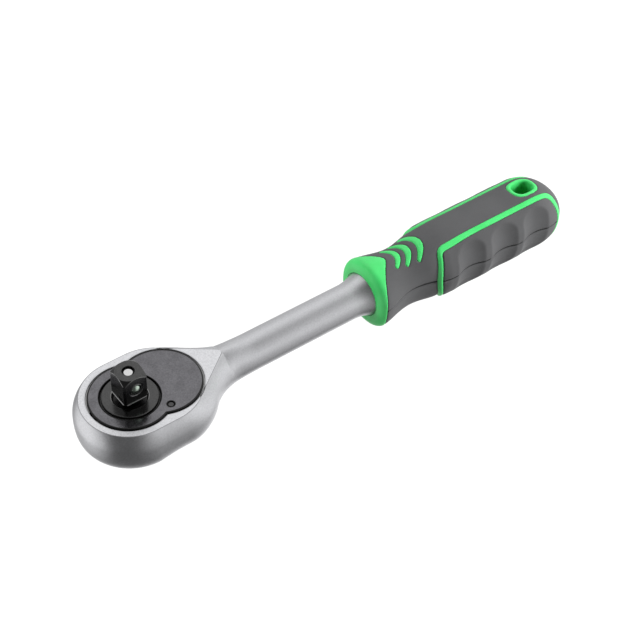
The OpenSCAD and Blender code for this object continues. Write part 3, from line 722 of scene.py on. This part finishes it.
def cover_plate(finish, edge):
    """The figure-eight plate: level faces between its outline and its two holes, with a well rounded edge.
    The edge and the holes' walls take a near-black steel, painted shade in the gaps round them.
    """

    def hole(radius, top_w, low_w, round_r):
        """The profile of a hole's wall, with a strip of the plate's top and underside."""
        return eased(
            [(radius + top_w, PLATE_TOP), (radius, PLATE_TOP), (radius, PLATE_LOW),
             (radius + low_w, PLATE_LOW)], (0, round_r, 0.05, 0))

    rim = eased(
        [(PLATE_R - 0.7, PLATE_LOW), (PLATE_R, PLATE_LOW), (PLATE_R, PLATE_TOP), (PLATE_R - 0.38, PLATE_TOP)],
        (0, 0.1, 0.28, 0), 6)
    outline = raised([whole(two_circles(r)) for r in rim[:, 0]], rim[:, 1])
    around = turned(hole(PLATE_HOLE_R, 0.19, 0.46, 0.14), 160)
    about_pin = turned(hole(COVER_PIN_HOLE_R, 0.25, 0.25, 0.12), 40, COVER_PIN)
    # The outline's and holes' walls take the second, near-black finish: painted shade
    parts = [sheet(wall, wrap=True) + (1,) for wall in (outline, around, about_pin)]
    parts.append(flat(PLATE_TOP, outline[-1, :, :2], around[0, :, :2], about_pin[0, :, :2]))
    parts.append(flat(PLATE_LOW, outline[0, :, :2], around[-1, :, :2], about_pin[-1, :, :2]))
    piece("figure_eight_plate", parts, "handle", [finish, edge], ["cover_plate"])


def drive_profile():
    """The drive's closed profile, from the pin's bore over the square, disc, wheel and journal to the
    button's bore. Each corner has its radius, its height and its round."""
    corners = [
        (PIN_BORE_R, PIN_RECESS_Z, 0.02), (PIN_RECESS_R, PIN_RECESS_Z, 0.02), (PIN_RECESS_R, DRIVE_END, 0.1),
        (NOSE_R, DRIVE_END, 0.1), (SQUARE_CORNER_R, DRIVE_END - NOSE_L, 0.15),
        (SQUARE_CORNER_R, SQUARE_FOOT_Z, 0.08), (SQUARE_CORNER_R - 0.1, NECK_TOP, 0.06),
        (NECK_R, NECK_TOP, 0.05), (NECK_R, NECK_LOW, 0.05), (NECK_FLOOR_R, NECK_LOW, 0.04),
        (DISC_HOLE_R, DISC_TOP, 0.06), (DISC_HOLE_R + 0.15, DISC_TOP, 0.0), (DISC_R, DISC_TOP, 0.2),
        (DISC_R, SEAL_SEAT_Z[0], 0.03),
        (SEAL_SEAT_R, SEAL_SEAT_Z[0], 0.02), (SEAL_SEAT_R, SEAL_SEAT_Z[1], 0.02),
        (DISC_R, SEAL_SEAT_Z[1], 0.03), (DISC_R, DISC_LOW, 0.02), (WHEEL_R, DISC_LOW, 0.05),
        (WHEEL_R, WHEEL_LOW, 0.05), (JOURNAL_R, WHEEL_LOW, 0.05), (JOURNAL_R, JOURNAL_LOW, 0.2),
        (BUTTON_BORE_R, JOURNAL_LOW, 0.15), (BUTTON_BORE_R, BUTTON_BORE_TOP, 0.05),
        (PIN_BORE_R, BUTTON_BORE_TOP, 0.02)]
    return eased([corner[:2] for corner in corners], [corner[2] for corner in corners], 3, closed=True)


def drive(finish, groove):
    """Square, disc, toothed wheel and journal as one closed profile carried round the axis. The radius is
    held within the square's flats above the disc, and dips between the teeth at the wheel. The mesh keeps a
    value that lightens the steel: at the square's nose and foot, at the disc's inner edge, and in two rings
    round the ball, where it is staked in. It is partly wear from use and partly painted highlight on these
    edges and rims."""
    square_low = 1.2
    path = finer(drive_profile(), 0.075, square_low)
    angle = np.linspace(0, 2 * math.pi, TEETH * 4, endpoint=False)
    radius, height = path[:, :1] + 0 * angle, path[:, 1:] + 0 * angle
    flats = SQUARE_HALF / np.maximum(abs(np.cos(angle)), abs(np.sin(angle)))
    at_nose = height > DRIVE_END - NOSE_L - 0.1
    at_foot = (height > NECK_TOP - 0.01) & (height < SQUARE_FOOT_Z + 0.01) & (radius > NECK_R + 0.1)
    at_disc_hole = (abs(height - DISC_TOP + 0.02) < 0.09) & (abs(radius - DISC_HOLE_R - 0.05) < 0.09)
    # Lighter steel at the nose, foot and disc edge: partly wear, partly painted highlight
    wear_and_highlight = np.maximum(hump(radius, flats, 0.05) * at_nose, np.maximum(0.75 * at_foot, at_disc_hole))
    foot = 0.16 * ramp(height, 1.62, 1.57)
    on_square = (height > square_low) & (radius > NECK_R + 0.05)
    radius = np.where(on_square, soft_min(radius, flats + foot, 0.12), radius)
    tooth = TOOTH_DEPTH * abs((angle * TEETH / (2 * math.pi)) % 1 - 0.5) * 2
    radius = np.where(path[:, :1] > WHEEL_R - 0.2, radius - tooth, radius)
    x, y = radius * np.cos(angle), radius * np.sin(angle)

    from_ball = np.hypot(x, height - BALL_Z)
    on_side = (y < -SQUARE_HALF + 0.15) & (from_ball < 2.4)
    hole = BALL_HOLE_DEPTH * ramp(from_ball, BALL_HOLE_R, BALL_HOLE_R - 0.1)
    stake = 0.13 * ramp(from_ball, 1.44, 1.54) * ramp(from_ball, STAKE_R, STAKE_R - 0.1)
    y = y + np.where(on_side, hole + stake, 0)
    # Two lighter rings round the ball's staked rim: partly wear, partly painted highlight
    rings = hump(from_ball, 1.4, 0.06) + hump(from_ball, 1.95, 0.07)
    wear_and_highlight = np.maximum(wear_and_highlight, np.where(on_side, rings * 0.8, 0))

    points, quads = sheet(np.stack([x, y, height], -1), wrap=True)
    around = np.hypot(points[quads][..., 0], points[quads][..., 1]).mean(1)
    level = points[quads][..., 2].mean(1)
    # The undercut's faces take the near-black steel: painted shade in the recess
    in_groove = (around > 2.8) & (around < 4.3) & (level > NECK_LOW - 0.05) & (level < NECK_TOP + 0.07)
    parts = [(points, quads[~in_groove], 0), (points, quads[in_groove], 1)]
    values = {"wear_and_highlight": np.tile(wear_and_highlight.reshape(-1), len(parts))}
    piece(
        "drive_square_and_wheel", parts, "drive", [finish, groove], ["drive_gear"], sharp=38,
        values=values)


def thumb_ridge(x):
    """One rounded bar across the lever's thumb end: a superellipse, drawn in over its crest. Each step has
    its share of the outline and its height from the lever's underside."""
    around = np.linspace(0, 2 * math.pi, 48, endpoint=False)
    plan = np.column_stack([
        RIDGE_HALF[0] * powered(np.cos(around), 0.5), RIDGE_HALF[1] * powered(np.sin(around), 0.5)])
    steps = np.array([(1.0, 0.3), (1.0, -0.3), (0.85, -0.48), (0.55, -0.58), (0.0, -0.6)])
    bar = raised([plan * share + (x, 0) for share in steps[:, 0]], LEVER_LOW + steps[:, 1])
    return [sheet(bar, wrap=True), flat(bar[0, 0, 2], plan + (x, 0))]


def lever(finish):
    """The reversing lever: a rounded teardrop plate with three thumb ridges, and the journal and stem above
    it."""
    tilt = math.acos((LEVER_HUB_R - LEVER_THUMB_R) / LEVER_REACH)

    def outline(inset):
        hub = arc(LEVER_HUB_R - inset, 60, tilt, 2 * math.pi - tilt)
        thumb = arc(LEVER_THUMB_R - inset, 40, -tilt, tilt, (LEVER_REACH, 0))
        return np.vstack([hub, thumb])

    edge = eased(
        [(1.2, LEVER_LOW - 0.1), (0, LEVER_LOW), (0, LEVER_TOP), (0.5, LEVER_TOP)], (0, 0.55, 0.15, 0), 6)[1:]
    plate = raised([outline(inset) for inset in edge[:, 0]], edge[:, 1])
    parts = [sheet(plate, wrap=True), flat(edge[0, 1], plate[0, :, :2]), flat(edge[-1, 1], plate[-1, :, :2])]
    journal_top = WELL_FLOOR - CLEARANCE
    stem = eased(
        [(0, LEVER_TOP), (LEVER_JOURNAL_R, LEVER_TOP), (LEVER_JOURNAL_R, journal_top),
         (LEVER_STEM_R, journal_top), (LEVER_STEM_R, LEVER_STEM_TOP), (0, LEVER_STEM_TOP)],
        (0, 0.02, 0.05, 0.02, 0.1, 0))
    parts.append(sheet(turned(stem, 64), wrap=True))
    for i in (-1, 0, 1):
        parts += thumb_ridge(RIDGE_X + RIDGE_PITCH * i)
    c, s = math.cos(LEVER_REST), math.sin(LEVER_REST)
    spin = np.array([[c, s, 0], [-s, c, 0], [0, 0, 1]])
    parts = [(part[0] @ spin + (LEVER_X, 0, 0), part[1]) for part in parts]
    piece("reversing_lever_paddle", parts, "lever", [finish], ["reversing_lever"], sharp=40)


def fold_angle(angle):
    """How far an angle is from the grip's top or bottom, whichever is nearer: a quarter turn at the sides."""
    return math.pi / 2 - abs(np.mod(angle, math.pi) - math.pi / 2)


def grip_sizes(x, up):
    """Half width and half height of the grip at x, without its lip and dome. The sides are drawn in by a
    round thumb hollow at the waist, and the top and bottom dip there. The top, where up is above 0, is
    crowned."""
    rear = ramp(x, WAIST_X, 95)
    high = mix(FRONT_HIGH, REAR_HIGH, rear) - 0.65 * hump(x, WAIST_X, 5)
    hollow = WAIST_HALF + HOLLOW_R - leg(HOLLOW_R, x - HOLLOW_X)
    wide = soft_min(mix(COLLAR_R, REAR_WIDE, rear), hollow, 2.2)
    crown = mix(0.1, 0.5, ramp(x, 78, 98))
    return wide, np.where(up > 0, high + crown, high)


def dome_share(x):
    """How far along the rear dome x lies, from 0 to 1."""
    return np.clip((x - DOME_X) / (GRIP_END - DOME_X), 0, 1)


def dome_draw(x, up):
    """How much the rear dome draws a section in, less below, where up is -1, than on top, where it is 1."""
    return np.sqrt(1 - dome_share(x) ** (2.2 - 0.35 * up))


def axis_z(x):
    """Height of the grip's middle, which drops a little towards its end."""
    return SHANK_Z - DOME_DROP * dome_share(x) ** 2


def section_power(x, below):
    """The superellipse's power: fuller below than on top, and fuller still round the waist."""
    return np.where(below, 2.5 + 0.6 * hump(x, 79, 6), 2.12 + 0.3 * hump(x, 84, 5))


def grip_point(x, draw, angle, lift):
    """A point of the grip's surface. Across, it is a superellipse at an angle from the top; draw shrinks the
    section at the lip and the dome, and lift moves the point out along the section's normal."""
    s, c = np.sin(angle), np.cos(angle)
    wide, high = grip_sizes(x, c)
    power = section_power(x, c < 0)
    y = -wide * draw * powered(s, 2 / power)
    z = high * draw * powered(c, 2 / power)
    ny = powered(y / wide, power - 1) / wide
    nz = powered(z / high, power - 1) / high
    size = np.hypot(ny, nz) + 1e-9
    return y + lift * ny / size, z + lift * nz / size


def hang_edge(dx, dy, half):
    """How far the edge of a superellipse of two half sizes is from the hang hole's middle, seen from above,
    towards dx, dy."""
    far = np.hypot(dx, dy) + 1e-9
    across = abs(dx / far / half[0]) ** HANG_POWER + abs(dy / far / half[1]) ** HANG_POWER
    return across ** (-1 / HANG_POWER)


def chevron_depth(x, y):
    """How deep a point lies inside the nearest chevron. Each is a row of discs along a curve that bends round
    at the middle of the grip's top, largest there and smallest at the two ends. From front to rear they get
    wider, flatter and heavier."""
    best = np.full(x.shape, -9.0)
    across = np.linspace(-1, 1, 41)
    for i in range(CHEVRONS):
        apex = CHEVRON_X + 3.15 * i + 0.18 * i * i
        bow = 0.19 - 0.025 * i
        disc_y = (3.25 + 0.48 * i) * across
        disc_x = apex - bow * disc_y ** 2
        disc_r = mix(0.87 + 0.06 * i, 0.5, abs(across) ** 1.6)
        for px, py, r in zip(disc_x, disc_y, disc_r):
            best = np.maximum(best, r - np.hypot(x - px, y - py))
    return best


def grip_zones(x, angle, y, z):
    """Signed distances over the grip: into the green zones, into the side pads, and past the front of the
    stripe that climbs the side."""
    fold = np.degrees(fold_angle(angle))
    # Towards the waist both edges of the stripe along the side lie a little further down
    ahead = ramp(x, 101, 91)
    outer_side = np.radians(fold - STRIPE_AT[0] - 1.2 * ahead) * GIRTH_R
    pad_side = np.radians(fold - STRIPE_AT[1] - 3.0 * ahead) * GIRTH_R
    collar = COLLAR_END + COLLAR_REACH * np.exp(-(fold / 33) ** 1.5) - x
    front = STRIPE_X + (z + 4) ** 2 / 42
    rear = PAD_END - (z - SHANK_Z) ** 2 / 20
    outer = soft_min(outer_side, soft_min(x - front, rear + STRIPE_REAR_W - x, 2.0), 2.0)
    pad = soft_min(pad_side, soft_min(x - front - STRIPE_W, rear - x, 1.5), 1.5)
    stripe = np.minimum(outer, -pad)
    rim = hang_edge(x - HANG_X, y, HANG_RIM_HALF) - np.hypot(x - HANG_X, y)
    green = np.maximum(np.maximum(collar, stripe), rim)
    on_top = z > SHANK_Z + 2
    green = np.where(on_top, np.maximum(green, chevron_depth(x, y)), green)
    return green, pad, x - front


def finger_dents(x, angle):
    """Depth of the finger dents on each side: a parabola along the grip that runs out towards the top and the
    bottom."""
    short = np.clip(math.radians(63) - fold_angle(angle), 0, None)
    soft = 0.04
    depth = np.zeros(np.broadcast(x, angle).shape)
    for i in range(DENTS):
        along = (x - (DENT_X + DENT_PITCH * i)) / DENT_HALF
        dent = DENT_DEPTH * (1 - along ** 2) - 8.5 * short ** 2
        depth = depth + soft * np.logaddexp(0, np.clip(dent, -3, None) / soft)
    return depth


def climb(depth, level, lowest):
    """Height over the grip's surface of the core or the skin, at a depth inside its own zone. A parabola
    takes it out of the groove along the border to its level; outside, where depth is below 0, it dives at an
    even slope to its lowest."""
    shoulder = level - (level + BORDER_GROOVE) * (1 - np.clip(depth / BORDER_W, 0, 1)) ** 2
    return np.where(depth > 0, shoulder, np.maximum(BORDER_SLOPE * depth - BORDER_GROOVE, lowest))


def grip_grid():
    """Rows of x with their draw, and columns of angles. The rows are closer at the lip and the side's stripe,
    the columns along the stripes' edges and the parting line."""
    lip = eased(
        [(GRIP_X, LIP_R), (GRIP_X + 0.8, COLLAR_R), (GRIP_X + 4, COLLAR_R)], (0, 1.45, 0), 14)
    lip = finer(lip, 0.14, 0)
    dome = np.radians(np.linspace(0, 90, 62))
    dome_power = 2.2
    stripe_from, stripe_to = 86.9, 90.4
    sides = np.concatenate([
        np.arange(lip[-1, 0] + 0.3, stripe_from, 0.3), np.arange(stripe_from, stripe_to, 0.14),
        np.arange(stripe_to + 0.1, DOME_X - 0.1, 0.33)])
    x = np.concatenate([
        lip[:, 0], sides, DOME_X + (GRIP_END - DOME_X) * np.sin(dome) ** (2 / dome_power)])
    draw = np.concatenate([lip[:, 1] / COLLAR_R, np.ones(len(sides) + len(dome))])
    quarter = np.linspace(0, 90, 46)
    close = np.arange(22.2, 39, 0.8)
    at_line = [88.6, 89.3]
    quarter = quarter[abs(quarter[:, None] - close[None]).min(1) > 0.7]
    quarter = np.unique(np.round(np.concatenate([quarter, close, at_line]), 3))
    half = np.concatenate([quarter, 180 - quarter[-2::-1]])
    angle = np.radians(np.concatenate([half, 360 - half[-2:0:-1]]))
    return x, draw, angle


def shell(outer, inner, quads):
    """A closed wall from two equal sets of points: the quads outside, the same inside, and a rim between."""
    edges = np.stack([quads, np.roll(quads, -1, 1)], -1).reshape(-1, 2)
    key = np.sort(edges, 1)
    _, first, count = np.unique(key, axis=0, return_index=True, return_counts=True)
    border = edges[first[count == 1]]
    total = len(outer)
    rim = np.column_stack([border, border[:, ::-1] + total])
    faces = np.vstack([quads, quads[:, ::-1] + total, rim])
    points = np.vstack([outer, inner])
    used = np.unique(faces)
    fresh = np.zeros(len(points), int)
    fresh[used] = np.arange(len(used))
    return points[used], fresh[faces]


def hang_patch(loop, up):
    """The core's surface from a loop of its points in to the hang hole, then round the hole's edge and a
    little way down, on top where up is 1 and below where it is -1. The points lie on rays from the hole's
    middle through the loop's points."""
    ray = loop[:, :2] - (HANG_X, 0)
    ray /= np.linalg.norm(ray, axis=1)[:, None]
    edge = hang_edge(ray[:, 0], ray[:, 1], HANG_HALF)
    width = hang_edge(ray[:, 0], ray[:, 1], HANG_RIM_HALF) - edge
    rows = 8
    level_out = mix(width + 0.28, HANG_ROUND, np.linspace(0, 1, rows + 1)[:-1, None])
    turn_in = np.radians(np.linspace(0, 90, 9))
    out = np.vstack([level_out, HANG_ROUND * (1 - np.sin(turn_in))[:, None] + 0 * width, 0 * width[None]])
    fall = np.concatenate([np.zeros(rows), HANG_ROUND * (1 - np.cos(turn_in)), [HANG_ROUND + 0.6]])
    plan = (HANG_X, 0) + ray[None] * (edge + out)[..., None]
    x, y = plan[..., 0], plan[..., 1]
    wide, high = grip_sizes(x, up)
    shrink = dome_draw(x, up)
    power = section_power(x, up < 0)
    level = high * shrink * (1 - abs(y / wide / shrink) ** power) ** (1 / power)
    lift = climb(width - out, CORE_PROUD, -CORE_DEPTH)
    z = axis_z(x) + up * (level + lift - fall[:, None])
    return np.concatenate([loop[None], np.stack([x, y, z], -1)])


def core_inside(front, angle):
    """The core's inside: the closed bore round the tang, the shoulder, the fit on the flare and out to the
    front row of the outside."""
    bore = [(0.0, CORE_BORE_END), (CORE_BORE_R, CORE_BORE_END), (CORE_BORE_R, CORE_SHOULDER_X)]
    flare = eased(
        [(FLARE_R + 0.02, CORE_SHOULDER_X), (FLARE_R + 0.06, GRIP_X), (LIP_R, GRIP_X)], (0, 0.18, 0), 5)
    profile = np.vstack([bore, flare])
    radius, x = profile[:, :1], profile[:, 1:]
    spun = np.stack([x + 0 * angle, -radius * np.sin(angle), radius * np.cos(angle) + SHANK_Z], -1)
    spun[-1] = front
    return spun


def core_parts(core, x, angle):
    """The core's outside with a window left on top and below, the two patches that fill them in to the hang
    hole, the hole's wall and the inside."""
    count = len(angle)
    half_window, half_window_angle = 5.0, math.radians(22.7)
    rows = np.where(abs(x - HANG_X) < half_window)[0]
    first, last = rows[0], rows[-1]
    reach = int(np.searchsorted(angle, half_window_angle))
    top_columns = np.arange(-reach, reach + 1)
    keep = np.ones((len(x) - 1, count), bool)
    for columns in (top_columns, top_columns + count // 2):
        keep[first:last, columns[:-1] % count] = False
    parts = [sheet(core, wrap=True, keep=keep)]
    ends = []
    for columns, up in ((top_columns % count, 1), ((count // 2 - top_columns) % count, -1)):
        patch = hang_patch(np.vstack([
            core[first, columns], core[rows[1:], columns[-1]], core[last, columns[-2::-1]],
            core[rows[-2:0:-1], columns[0]]]), up)
        parts.append(sheet(patch, wrap=True))
        ends.append(patch[-1])
    wall = np.stack([mix(ends[0], ends[1], t) for t in np.linspace(0, 1, 9)])
    return parts + [sheet(wall, wrap=True), sheet(core_inside(core[0], angle), wrap=True)]


def grip(green_finish, rubber):
    """The grip in four pieces from one surface. In the green zones the core comes up to the surface and the
    skin dives under it; everywhere else it is the other way round. They cross in a fine groove along each
    border."""
    x1, draw1, angle1 = grip_grid()
    x, angle = np.meshgrid(x1, angle1, indexing="ij")
    draw = draw1[:, None] * dome_draw(x, np.cos(angle))
    y0, z0 = grip_point(x, draw, angle, 0)
    green, pad, past_front = grip_zones(x, angle, y0, z0 + SHANK_Z)
    fold = fold_angle(angle)
    form = -finger_dents(x, angle)
    step = STEP_DEPTH * ramp(fold, math.radians(24), math.radians(44))
    step = step * np.exp(-np.clip(-past_front, 0, None) / 1.5) * ramp(past_front, 1.3, 0.3)
    parting = PARTING_DEPTH * hump(fold, math.pi / 2, 0.2 / GIRTH_R)
    parting = parting * ramp(green, 0, -1.6) * ramp(x, 134, 131)
    skin_lift = climb(-green, 0, -CORE_DEPTH - 0.1) - parting - step
    end_fade = ramp(x, GRIP_END, GRIP_END - 2)

    def at(lift, at_end):
        """The surface moved out by lift, of which the share at_end is left at the rear end."""
        y, z = grip_point(x, draw, angle, lift * np.maximum(end_fade, at_end))
        return np.stack([x, y, z + axis_z(x)], -1)

    skin = at(form + skin_lift, 0.15)
    inner = at(form - SKIN_T + np.minimum(skin_lift + 0.3, 0), 0.4)
    core = at(form + climb(green, CORE_PROUD, -CORE_DEPTH), 0.5)
    shown = corners_of(wrapped(green)).min(-1) < 0.34
    in_pad = corners_of(wrapped(pad)).mean(-1) > -0.5
    near_side = np.cos(corners_of(wrapped(angle)).mean(-1) - math.pi / 2) > 0
    for name, zone, node in (
            ("soft_skin", ~in_pad, "grip_sleeve"),
            ("side_pad_near", in_pad & near_side, "side_pad_right"),
            ("side_pad_far", in_pad & ~near_side, "side_pad_left")):
        points, quads = sheet(skin, wrap=True, keep=shown & zone)
        wall = shell(points, inner.reshape(-1, 3), quads)
        piece(name, [wall], "handle", [rubber], [node], sharp=60)
    parts = core_parts(core, x1, angle1)
    piece("green_core", parts, "handle", [green_finish], ["grip_core"], sharp=50)


def dress(finish, *nodes):
    """Gives CAD nodes that keep their own shape a finish."""
    for node in nodes:
        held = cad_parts[node].data.materials
        held.clear()
        held.append(finish.material)


def area_light(name, place, size, power):
    """A rectangular soft box at a place, turned to the middle of the handle. Reflections leave it out."""
    lamp = bpy.data.lights.new(name, "AREA")
    lamp.shape = "RECTANGLE"
    lamp.size, lamp.size_y = size[0] * MM, size[1] * MM
    lamp.energy = power
    made = bpy.data.objects.new(name, lamp)
    made.visible_glossy = False
    made.location = Vector(place) * MM
    to_handle = Vector((35, 0, -5)) - Vector(place)
    made.rotation_euler = to_handle.to_track_quat("-Z", "Y").to_euler()
    bpy.context.scene.collection.objects.link(made)


def surround():
    """The world: dim all round, with soft glows that the steel mirrors. Each has its strength, its direction,
    and the cosines of the angles from it at which it starts and is full."""
    glows = [
        (0.62, (0.86, 0.5, 0.09), 0.0, 0.9), (0.27, (0.89, -0.16, 0.42), 0.0, 0.9),
        (1.15, (-0.84, 0.48, -0.26), 0.6, 0.98), (0.42, (0.52, -0.83, -0.17), 0.55, 0.97),
        (0.7, (0.24, 0.35, -0.91), 0.75, 0.98), (0.3, (0.12, 0.5, 0.86), 0.75, 0.98),
        (0.3, (0.45, -0.78, 0.38), 0.7, 0.97), (0.12, (0.72, -0.05, -0.69), 0.75, 0.98),
        (0.5, (-0.32, 0.6, 0.74), 0.8, 0.98)]
    world = bpy.data.worlds.new("studio")
    bpy.context.scene.world = world
    world.use_nodes = True
    sky = Graph(world.node_tree)
    way = sky.node("ShaderNodeTexCoord", output="Generated")
    light = 0.12
    for strength, direction, start, full in glows:
        unit = Vector(direction).normalized()
        turn = sky.node("ShaderNodeVectorMath", {"operation": "DOT_PRODUCT"}, {0: way, 1: unit}, "Value")
        light = light + strength * sky.span(turn, start, full, kind="SMOOTHSTEP")
    sky.end("ShaderNodeBackground", "ShaderNodeOutputWorld", Strength=light)


def paper_floor():
    """An evenly white sheet just under the object, in metres. The steel doesn't mirror it."""
    half_size, gap = 3.0, 0.0001
    floor_z = min(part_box(node)[0].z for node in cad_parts) - gap
    corners = np.array([(-1, -1), (1, -1), (1, 1), (-1, 1)]) * half_size
    mesh = bpy.data.meshes.new("floor")
    mesh.from_pydata(np.column_stack([corners, np.full(4, floor_z)]), [], [(0, 1, 2, 3)])
    floor = bpy.data.objects.new("floor", mesh)
    bpy.context.scene.collection.objects.link(floor)
    paper = Finish("white_paper")
    mesh.materials.append(paper.surface(
        Base_Color=paper.blend(paper.noise(0.02), grey(0.1), grey(0.12)), Roughness=0.9,
        Specular_IOR_Level=0.0, Emission_Color=grey(1.0), Emission_Strength=0.97).material)
    floor.visible_glossy = False


def studio():
    """A white floor under the object, a surround that the steel mirrors, and three soft boxes."""
    bpy.context.scene.view_settings.view_transform = "Standard"
    bpy.context.scene.view_settings.look = "None"
    surround()
    paper_floor()
    area_light("behind", (140, 300, 400), (320, 260), 1.35)
    area_light("right", (400, -230, 130), (200, 200), 3.6)
    area_light("left", (-260, 140, 190), (160, 160), 1.3)


def camera():
    """The photograph's view: the place and turn were worked out from the head's circles and the drive
    square."""
    lens = bpy.data.cameras.new("camera")
    lens.sensor_width = SENSOR_W
    lens.lens = SENSOR_W * FOCAL_PIXELS / PHOTO_PIXELS
    lens.clip_start, lens.clip_end = 0.01, 20
    made = bpy.data.objects.new("camera", lens)
    made.location = Vector(CAMERA_PLACE) * MM
    made.rotation_euler = Euler([math.radians(part) for part in CAMERA_TURN], "XYZ")
    bpy.context.scene.collection.objects.link(made)
    bpy.context.scene.camera = made


camera()
studio()
# A near-black steel: painted shade on the cover plate's edge and hole walls and in the drive's undercut.
shade_steel = plain_steel("painted_shade_steel", 0.05, 0.3, 0.42)
blackened = drive_steel()
# The third finish is a darker copy of the plating: painted shade along the face's edge.
ratchet_body(satin_chrome(), machined_face(), satin_chrome("painted_edge_shade", 0.42))
cover_plate(plate_steel(), shade_steel)
drive(blackened, shade_steel)
lever(black_lever())
grip(core_green(), grip_rubber())
dress(black_rubber(), "drive_o_ring", "lever_o_ring")
dress(bright_steel(), "release_pin", "release_button")
# The ball's green tint is a painted reflection of the green core.
dress(bright_steel("ball_steel_painted_green_reflection", 0.7, 0.1, 0.16, (0.84, 1.0, 0.86)), "detent_ball")
dress(plain_steel("spring_wire", 0.55, 0.22, 0.34), "release_spring", "plunger_spring")
dress(
    plain_steel("inner_steel", 0.45, 0.3, 0.45),
    "pawl", "lever_plunger", "plate_snap_ring", "lever_snap_ring", "button_clip")
dress(blackened, "cover_pin")
